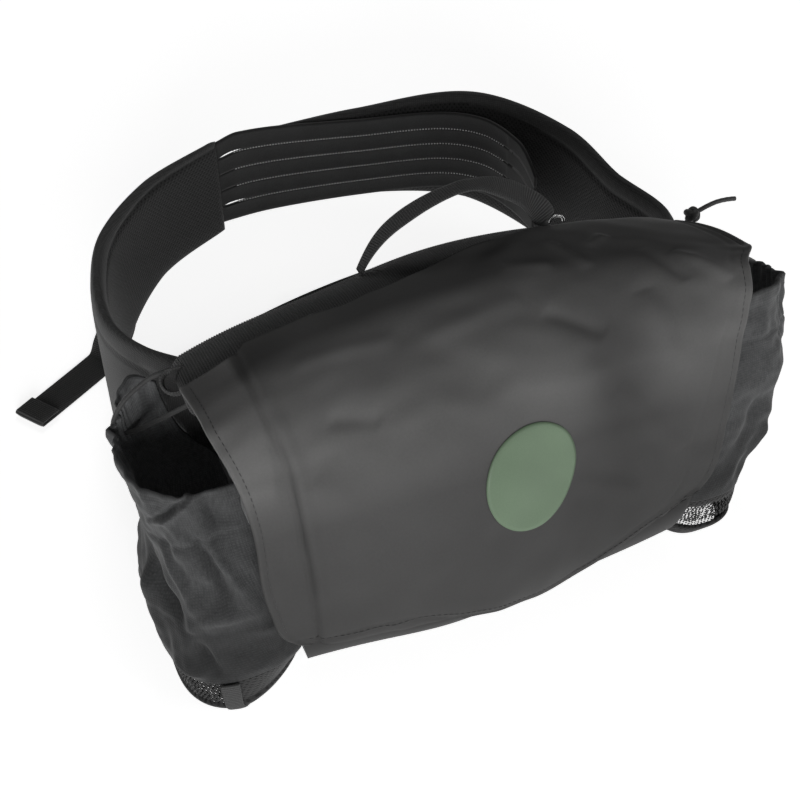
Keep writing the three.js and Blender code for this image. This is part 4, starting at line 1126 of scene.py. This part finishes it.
def make_panel():
    u = np.linspace(0, 1, PANEL.columns + 1)
    middle, out, low, high = belt_frame(CLOSURE, u, -1)
    corner = np.clip((u - PANEL_TOP.corner_from) / PANEL_TOP.corner_length, 0, 1) ** 2
    high = high - PANEL_TOP.corner * corner - PANEL_TOP.tuck * (1 - step(u, 0, PANEL_TOP.tuck_to))
    in_slit = (u > PANEL.from_u) & (u < PANEL.to_u)
    band_of = np.repeat(np.arange(PANEL.bands), PANEL.per_band + 1)
    local = np.tile(np.linspace(0, 1, PANEL.per_band + 1), PANEL.bands)
    shares = (band_of + local) / PANEL.bands
    ends = step(u, PANEL.from_u - PANEL.fade, PANEL.from_u + PANEL.fade)
    ends = ends * (1 - step(u, PANEL.to_u - PANEL.fade, PANEL.to_u))
    outer_slit = np.isin(band_of + (local > 0.5), SLIT.open_at)
    wide = mix(SLIT.width, SLIT.open_width, 1 - step(u, SLIT.open_to, SLIT.open_to + SLIT.closes))
    half_slit = np.where(outer_slit, wide[:, None], SLIT.width) / 2 * ends[:, None]
    inward = np.where(local == 0, 1, np.where(local == 1, -1, 0))
    at_border = (shares == 0) | (shares == 1)
    z = low[:, None] + (high - low)[:, None] * shares[None, :] + half_slit * (inward * ~at_border)[None, :]
    belly = PANEL.belly * np.sin(np.pi * local)[None, :] * ends[:, None]
    points = middle[:, None] + out[:, None] * belly[..., None]
    points[..., 2] = z
    rows, columns = z.shape
    index = np.arange(rows * columns).reshape(rows, columns)
    quads = quads_of(index)
    along = lengths_along(middle)
    crossing = np.repeat((np.diff(band_of) != 0)[None, :], rows - 1, axis=0).reshape(-1)
    cut = np.repeat((in_slit[:-1] | in_slit[1:])[:, None], columns - 1, axis=1).reshape(-1)
    quads = quads[~(crossing & cut)]
    uv = np.stack(np.broadcast_arrays(along[:, None], z), axis=-1).reshape(-1, 2)
    points = points.reshape(-1, 3)
    piece = make_mesh("ladder_panel", points, quads, PANEL_WEAVE, uv, replaces=["closure_panel"])
    thicken(piece, PANEL.thickness, 0)
    lines = []
    span = (u > SLIT.open_to) & (u < PANEL.to_u - PANEL.fade)
    for band in range(1, PANEL.bands):
        for way in (-1, 1):
            path = middle + out * way * (PANEL.thickness / 2)
            path[:, 2] = low + (high - low) * band / PANEL.bands
            lines.append((path[span], out[span] * way))
    make_stitches("panel_stitches", lines, PALE_THREAD, "woven", **PANEL_STITCH)


make_panel()


# Bottle pockets

# Columns of POCKET: z, inner, outer, front, back and slope
POCKET = [
    (0, 104, 164, -54, 14, 0), (5, 104, 170, -57, 20, 0), (23, 100, 174, -57, 27, 0),
    (38, 96, 177, -51, 38, 0), (68, 96, 175, -40, 54, 0.05), (94, 98, 174, -24, 70, 0.14),
    (108, 100, 174, -14, 75, 0.2),
]
POCKET_TOP = 108
POCKET_SIDES = {
    "left": Values(side=-1, forward=9, foot_out=0, rim_out=0, waist=-6, ankle=0, rise=0, tilt=1, tuck=15,
                   frill=(0.5, 0.4), rear=(1.15, 0.42, 20), net_from=-1.36, net_open=0.05),
    "right": Values(side=1, forward=-9, foot_out=-20, rim_out=22, waist=8, ankle=-7, rise=13, tilt=2,
                    tuck=0, frill=(-0.1, 0.6), rear=(1.15, 0.42, 0), net_from=-4, net_open=-0.3),
}
POCKET_WAIST = (75, 25)
POCKET_ANKLE = (28, 14)
BINDING_ROW = 2
POCKET_POWER = 2.7
GATHER = Values(waves=14, depth=1.6, from_row=4)
RUFFLE = Values(waves=46, depth=1.1, drift=2, drift_waves=9)
RIM_RISE = 2.5
FOOT_TUCK = Values(height=30, from_x=148, to_x=106, turn=0.6)
POCKET_GRID = Values(around=220, rows=92, fade=0.06, fade_rows=0.4)
POCKET_RIM = Values(rise=0.4, rows=(5.65, 5.75))
NET = Values(columns=330, rows=30, floor_rows=90, pitch=2.2, low=6.5, high=21.5, thickness=0.5, inset=0.9,
             binding=1.7)
FACE_STEPS = 720
FENCE = Values(to_u=0.5, steps=60)


def pocket_section(place, row):
    """A pocket's section at rows between 0 and 6, each value as a column of an array."""
    row = np.asarray(row, float)[:, None]
    base = spline(POCKET, row / (len(POCKET) - 1))
    z, inner, outer, front, back, slope = (base[..., k] for k in range(6))
    share = z / POCKET_TOP
    outer = outer + place.foot_out + (place.rim_out - place.foot_out) * share
    outer = outer + place.waist * bump(z, *POCKET_WAIST) + place.ankle * bump(z, *POCKET_ANKLE)
    gather = np.clip((row - GATHER.from_row) / (len(POCKET) - 1 - GATHER.from_row), 0, 1)
    return Values(z=z + place.rise * share, inner=inner, outer=outer, front=front - place.forward,
                  back=back - place.forward * (1 - share), slope=slope * place.tilt, gather=gather)


def powered(value, power):
    return np.sign(value) * np.abs(value) ** (2 / power)


def pocket_point(place, section, angle, inset):
    """A point of a pocket's wall. inset moves it in from the outer face."""
    frill = section.gather * bump(angle, *place.frill)
    gather = GATHER.depth * np.cos(GATHER.waves * angle)
    drift = RUFFLE.drift * np.sin(RUFFLE.drift_waves * angle)
    push = frill * (gather + RUFFLE.depth * np.cos(RUFFLE.waves * angle + drift)) - inset
    centre_x, half_x = (section.inner + section.outer) / 2, (section.outer - section.inner) / 2
    centre_y, half_y = (section.front + section.back) / 2, (section.back - section.front) / 2
    x = centre_x + (half_x + push) * powered(np.cos(angle), POCKET_POWER)
    y = centre_y + (half_y + push) * powered(np.sin(angle), POCKET_POWER)
    low = 1 - step(section.z, 0, FOOT_TUCK.height)
    front = step(-np.sin(angle), 0, FOOT_TUCK.turn)
    y = y + place.tuck * low * front * (1 - step(x, FOOT_TUCK.to_x, FOOT_TUCK.from_x))
    middle, spread, reach = place.rear
    rise = RIM_RISE + reach * bump(angle, middle, spread)
    z = section.z - section.slope * (y - section.front) + rise * section.gather ** 2
    return np.stack([place.side * x, y, z], axis=-1)


def in_polygon(x, y, corners):
    inside = np.zeros(x.shape, bool)
    for (x0, y0), (x1, y1) in zip(corners, np.roll(corners, -1, axis=0)):
        crosses = (y0 > y) != (y1 > y)
        reach = (x1 - x0) * (y - y0) / np.where(y1 == y0, 1e-9, y1 - y0) + x0
        inside ^= crosses & (x < reach)
    return inside


def bag_end(side):
    """Outline of the bag's end as polar arrays about its centre: angle, radius and x."""
    t = np.linspace(0, ROWS, FACE_STEPS, endpoint=False)
    edge = skin(body_middle(t) + side * body_half(t), t)
    centre = edge.mean(axis=0)
    angle = np.arctan2(edge[:, 2] - centre[2], edge[:, 1] - centre[1])
    radius = np.hypot(edge[:, 2] - centre[2], edge[:, 1] - centre[1])
    order = np.argsort(angle)
    return centre, angle[order], radius[order], edge[order, 0]


def beside_pocket(points, side, rows):
    """True for the points inside the bag or on the wearer's side of the belt's outer face."""
    u = np.linspace(0, FENCE.to_u, FENCE.steps)
    middle, out, _, _ = belt_frame(rows, u, side)
    face = (middle + out * (PADDING / 2 + SEAM_GAP))[:, :2]
    corners = np.concatenate([[[0, 0]], face, [[0, middle[-1, 1]]]])
    in_belt = in_polygon(points[..., 0], points[..., 1], corners)
    centre, angle, radius, x = bag_end(side)
    dy, dz = points[..., 1] - centre[1], points[..., 2] - centre[2]
    turn = np.arctan2(dz, dy)
    share = np.hypot(dy, dz) / (np.interp(turn, angle, radius, period=2 * np.pi) + SEAM_GAP)
    edge_x = np.interp(turn, angle, x, period=2 * np.pi)
    end_x = centre[0] + side * BODY_GRID.bulge + (edge_x - centre[0] - side * BODY_GRID.bulge) * share
    in_bag = (share < 1) & (side * (points[..., 0] - end_x) < SEAM_GAP)
    return in_belt | in_bag


def open_angles(place, rows_of_belt, row):
    """First and last angle of a pocket's wall that lie clear of the bag and the belt, at each row."""
    angles = np.linspace(-np.pi, np.pi, FACE_STEPS)
    points = pocket_point(place, pocket_section(place, row), angles + np.zeros((len(row), 1)), 0)
    clear = ~beside_pocket(points, place.side, rows_of_belt)
    first, last = [], []
    outermost = np.argmin(np.abs(angles))
    for line in clear:
        low = outermost
        while low > 0 and line[low - 1]:
            low -= 1
        high = outermost
        while high < len(angles) - 1 and line[high + 1]:
            high += 1
        first.append(angles[low])
        last.append(angles[high])
    return np.array(first), np.array(last)


def smoothed(values, width=5):
    padded = np.pad(values, width, mode="edge")
    kernel = np.ones(2 * width + 1) / (2 * width + 1)
    return np.convolve(padded, kernel, mode="valid")


def pocket_wall(place, rows_of_belt, row, columns):
    """Shares round, angles and sections of a grid on the part of a pocket's wall that is clear."""
    first, last = (smoothed(edge)[:, None] for edge in open_angles(place, rows_of_belt, row))
    share = np.linspace(0, 1, columns + 1)
    return share, first + (last - first) * share, pocket_section(place, row)


POCKET_FOLDS = {
    "left": [
        (-1.0, 103, 0.06, 7, -0.06, -2.6), (-0.86, 99, 0.1, 5, -0.06, 1.6), (-1.5, 101, 0.07, 7, 0, -2.8),
        (-0.42, 60, 0.16, 8, 0.03, -7.5), (-0.12, 56, 0.12, 9, 0, 4), (-1.3, 77, 0.07, 13, 0.008, -4.5),
        (-1.47, 76, 0.06, 14, 0.008, 2.4), (-1.3, 57, 0.3, 4, 0, 2.4), (-0.75, 72, 0.12, 12, 0.02, 2.2),
        (-1.1, 36, 0.1, 9, 0.012, -2.2), (-0.8, 28, 0.2, 6, 0, 1.8),
    ],
    "right": [
        (-0.8, 98, 0.2, 2.5, 0, -1.6), (-1.2, 88, 0.14, 8, 0, 1.6), (-1.3, 60, 0.12, 14, 0.006, -2.2),
        (-0.9, 50, 0.12, 12, 0, 1.6), (-0.6, 72, 0.12, 12, 0, -1.6),
    ],
}
POCKET_SEAMS = {"left": [(82, -6.4, 0.9, 1.0), (48, 0, 0.5, 0.9)], "right": [(102, 0, 0.9, 1.0)]}
POCKET_CRUMPLE = {"seed": 11, "longest": 34, "shortest": 8, "depth": 0.42}
POCKET_RADIUS = 40
POCKET_PAINTED_SHADE = (32, 84)
POCKET_FOLD_GAIN = 1.45


def pocket_relief(name, angle, z):
    height = crumple(angle * POCKET_RADIUS, z, **POCKET_CRUMPLE)
    for middle, level, spread, spread_z, lean, rise in POCKET_FOLDS[name]:
        fold = bump(angle - lean * (z - level), middle, spread) * bump(z, level, spread_z)
        height = height + POCKET_FOLD_GAIN * rise * fold
    for level, slope, depth, width in POCKET_SEAMS[name]:
        height = height - depth * bump(z, level + slope * angle, width)
    return height


def make_pocket(name, rows_of_belt):
    place = POCKET_SIDES[name]
    row = np.linspace(BINDING_ROW, len(POCKET) - 1, POCKET_GRID.rows + 1)
    share, angle, section = pocket_wall(place, rows_of_belt, row, POCKET_GRID.around)
    height = section.z + np.zeros_like(angle)
    sides = step(share, 0, POCKET_GRID.fade) * (1 - step(share, 1 - POCKET_GRID.fade, 1))
    foot = step(row, BINDING_ROW, BINDING_ROW + POCKET_GRID.fade_rows)[:, None]
    relief = pocket_relief(name, angle, height) * sides * foot
    rim = POCKET_RIM.rise * step(row, *POCKET_RIM.rows)[:, None]
    outer = pocket_point(place, section, angle, -relief - rim)
    inner = pocket_point(place, section, angle, CLOTH - relief)
    outer[..., 2] += SEAM_GAP
    inner[..., 2] += SEAM_GAP
    middle = outer[len(row) // 2]
    across = lengths_along(middle)
    uv = np.stack(np.broadcast_arrays(across[None, :], height), axis=-1)
    # Painted shade: the pocket cloth is darker towards the bottom, fully below the first height and not at
    # all above the second.
    painted_shade = step(height, *POCKET_PAINTED_SHADE)
    points, faces, uv, marks = closed_sheet(outer, inner, uv, {"painted_shade": painted_shade})
    piece = make_mesh(f"{name}_bottle_pocket", points, faces, POCKET_CLOTH, uv, marks,
                      [f"{name}_pocket"])
    # The wall's inner faces take the lighter lining, a painted light for the dim inside.
    piece.data.materials.append(PAINTED_LIGHT_LINING)
    lined = np.zeros(len(faces), np.int32)
    one_face = (angle.shape[0] - 1) * (angle.shape[1] - 1)
    lined[one_face:2 * one_face] = 1
    piece.data.polygons.foreach_set("material_index", lined)


def make_pocket_base(name, rows_of_belt):
    """The net foot of a pocket, with a solid binding round its lower edge."""
    place = POCKET_SIDES[name]
    row = np.linspace(0, BINDING_ROW, NET.rows + 1)
    share, angle, section = pocket_wall(place, rows_of_belt, row, NET.columns)
    binding = NET.binding * (1 - step(section.z, NET.low - 1, NET.low))
    wall = pocket_point(place, section, angle, NET.inset - binding)
    edge = wall[0]
    chord = edge[:1] + (edge[-1:] - edge[:1]) * share[:, None]
    across = np.linspace(0, 1, NET.floor_rows)[:-1, None, None]
    points = np.concatenate([chord[None] + (edge - chord)[None] * across, wall])
    around = lengths_along(wall[-1])[None, :] + np.zeros(points.shape[:2])
    is_wall = np.arange(len(points))[:, None] >= NET.floor_rows - 1
    u = np.where(is_wall, around, points[..., 0])
    v = np.where(is_wall, points[..., 2], points[..., 1])
    rows, columns = u.shape
    quads = quads_of(np.arange(rows * columns).reshape(rows, columns))
    turn = 2 * np.pi / NET.pitch
    centre_u, centre_v = u.reshape(-1)[quads].mean(axis=1), v.reshape(-1)[quads].mean(axis=1)
    height = points[..., 2].reshape(-1)[quads].mean(axis=1)
    on_wall = is_wall.repeat(columns, 1).reshape(-1)[quads].all(axis=1)
    solid = (height > NET.high) | ((height < NET.low) & on_wall)
    facing = np.broadcast_to(angle[0], u.shape).reshape(-1)[quads].mean(axis=1)
    solid = solid | (facing < place.net_from)
    hole = (np.cos(turn * centre_u) * np.cos(turn * centre_v) > place.net_open) & ~solid
    uv = np.stack([u, v], axis=-1).reshape(-1, 2)
    panel = np.ones(rows * columns)
    piece = make_mesh(f"{name}_pocket_foot", points.reshape(-1, 3), quads[~hole], SPACER_MESH, uv,
                      {"panel": panel}, [f"{name}_pocket_base"])
    thicken(piece, NET.thickness, 0)


for pocket_name, belt_rows in (("left", LEFT_ROWS), ("right", RIGHT_ROWS)):
    make_pocket(pocket_name, belt_rows)
    make_pocket_base(pocket_name, belt_rows)

TAB_RIB = 0.1
BASE_TAB = Values(angle=-75, spread=12.5, low=0.6, high=22.6, steps=110, columns=25, row_steps=2000)


def make_base_tab():
    place = POCKET_SIDES["left"]
    rows = np.linspace(0, len(POCKET) - 1, BASE_TAB.row_steps)
    heights = pocket_section(place, rows).z[:, 0]
    z = np.linspace(BASE_TAB.low, BASE_TAB.high, BASE_TAB.steps)
    row = np.interp(z, heights, rows)
    section = pocket_section(place, row)
    spread = np.radians(BASE_TAB.angle + BASE_TAB.spread * np.linspace(-0.5, 0.5, BASE_TAB.columns))
    angle = spread[None, :] + np.zeros((len(z), 1))
    ribs = TAB_RIB * np.sin(2 * np.pi * z / RIB_PITCH)[:, None]
    outer = pocket_point(place, section, angle, -SEAM_GAP - WEBBING - ribs)
    inner = pocket_point(place, section, angle, -SEAM_GAP + np.zeros_like(ribs))
    across = lengths_along(outer[len(z) // 2])
    uv = np.stack(np.broadcast_arrays(z[:, None], across[None, :]), axis=-1)
    make_webbing("base_tab", outer, inner, uv, ["left_base_tab"])


make_base_tab()


# Loose end of the belt webbing

TAIL = Values(width=22, fold=13, steps=200, fold_steps=20, rows=16)
TAIL_ROUTE = [
    (-125.2, 240.7, 38, -90), (-134.2, 236.2, 22, -66), (-143, 231.8, 8, -24), (-151, 225, 1.2, 0),
    (-204, 187, 1.2, 0),
]


def make_tail():
    u = np.linspace(0, 1, TAIL.steps)
    path = spline([row[:3] for row in TAIL_ROUTE], u)
    path[:, 2] = np.maximum(path[:, 2], WEBBING / 2 + RIB.depth)
    roll = np.radians(spline([(row[3], 0, 0) for row in TAIL_ROUTE], u)[:, 0])[:, None]
    along = unit(np.gradient(path, axis=0))
    level = unit(np.stack([-along[:, 1], along[:, 0], np.zeros(len(u))], axis=-1))
    upright = unit(np.cross(along, level))
    across = level * np.cos(roll) + upright * np.sin(roll)
    up = unit(np.cross(along, across))
    radius = (WEBBING + SEAM_GAP) / 2 + RIB.depth
    turn = np.linspace(0, np.pi, TAIL.fold_steps)[1:, None]
    fold_up = up[-1] * np.cos(turn) - along[-1] * np.sin(turn)
    bend = path[-1] + up[-1] * radius - fold_up * radius
    back = bend[-1] - along[-1] * np.linspace(0, TAIL.fold, TAIL.fold_steps)[1:, None]
    path = np.concatenate([path, bend, back])
    up = np.concatenate([up, fold_up, np.broadcast_to(fold_up[-1], back.shape)])
    across = np.concatenate([across, np.broadcast_to(across[-1], (len(bend) + len(back), 3))])
    make_strap("loose_strap", path, up, across, TAIL.width, ["tail_strap"], TAIL.rows)


make_tail()


# Floor, lights and background

FLOOR_SIZE = 6
FLOOR_GLOW = 0.76
SKY = 0.1
LIGHTS = [
    ("key", (-0.55, -1.85, 0.5), 0.9, 25),
    ("fill", (1.4, -1.3, 0.6), 1.2, 6),
    ("rim", (0.3, 1.6, 1.2), 0.5, 4),
]
AIM = Vector((0, 0.05, 0.09))


def make_floor():
    material, tree, shader = new_material("pale_floor", specular=0.1)
    colour = colour_between(tree, noise(tree, 120, detail=2), grey(0.86), grey(0.9))
    tree.links.new(colour, shader.inputs["Base Color"])
    shader.inputs["Emission Color"].default_value = (1, 1, 1, 1)
    shader.inputs["Emission Strength"].default_value = FLOOR_GLOW
    half = FLOOR_SIZE / 2
    mesh = bpy.data.meshes.new("floor")
    corners = [(-half, -half, 0), (half, -half, 0), (half, half, 0), (-half, half, 0)]
    mesh.from_pydata(corners, [], [(0, 1, 2, 3)])
    mesh.materials.append(material)
    floor = bpy.data.objects.new("floor", mesh)
    bpy.context.scene.collection.objects.link(floor)


def make_lights():
    for name, place, size, power in LIGHTS:
        data = bpy.data.lights.new(name, "AREA")
        data.shape = "DISK"
        data.size = size
        data.energy = power
        lamp = bpy.data.objects.new(name, data)
        lamp.location = place
        lamp.rotation_euler = (AIM - Vector(place)).to_track_quat("-Z", "Y").to_euler()
        bpy.context.scene.collection.objects.link(lamp)
    world = bpy.data.worlds.new("studio")
    world.use_nodes = True
    world.node_tree.nodes["Background"].inputs["Color"].default_value = (1, 1, 1, 1)
    world.node_tree.nodes["Background"].inputs["Strength"].default_value = SKY
    bpy.context.scene.world = world
    bpy.context.scene.view_settings.view_transform = "Standard"


make_floor()
make_lights()
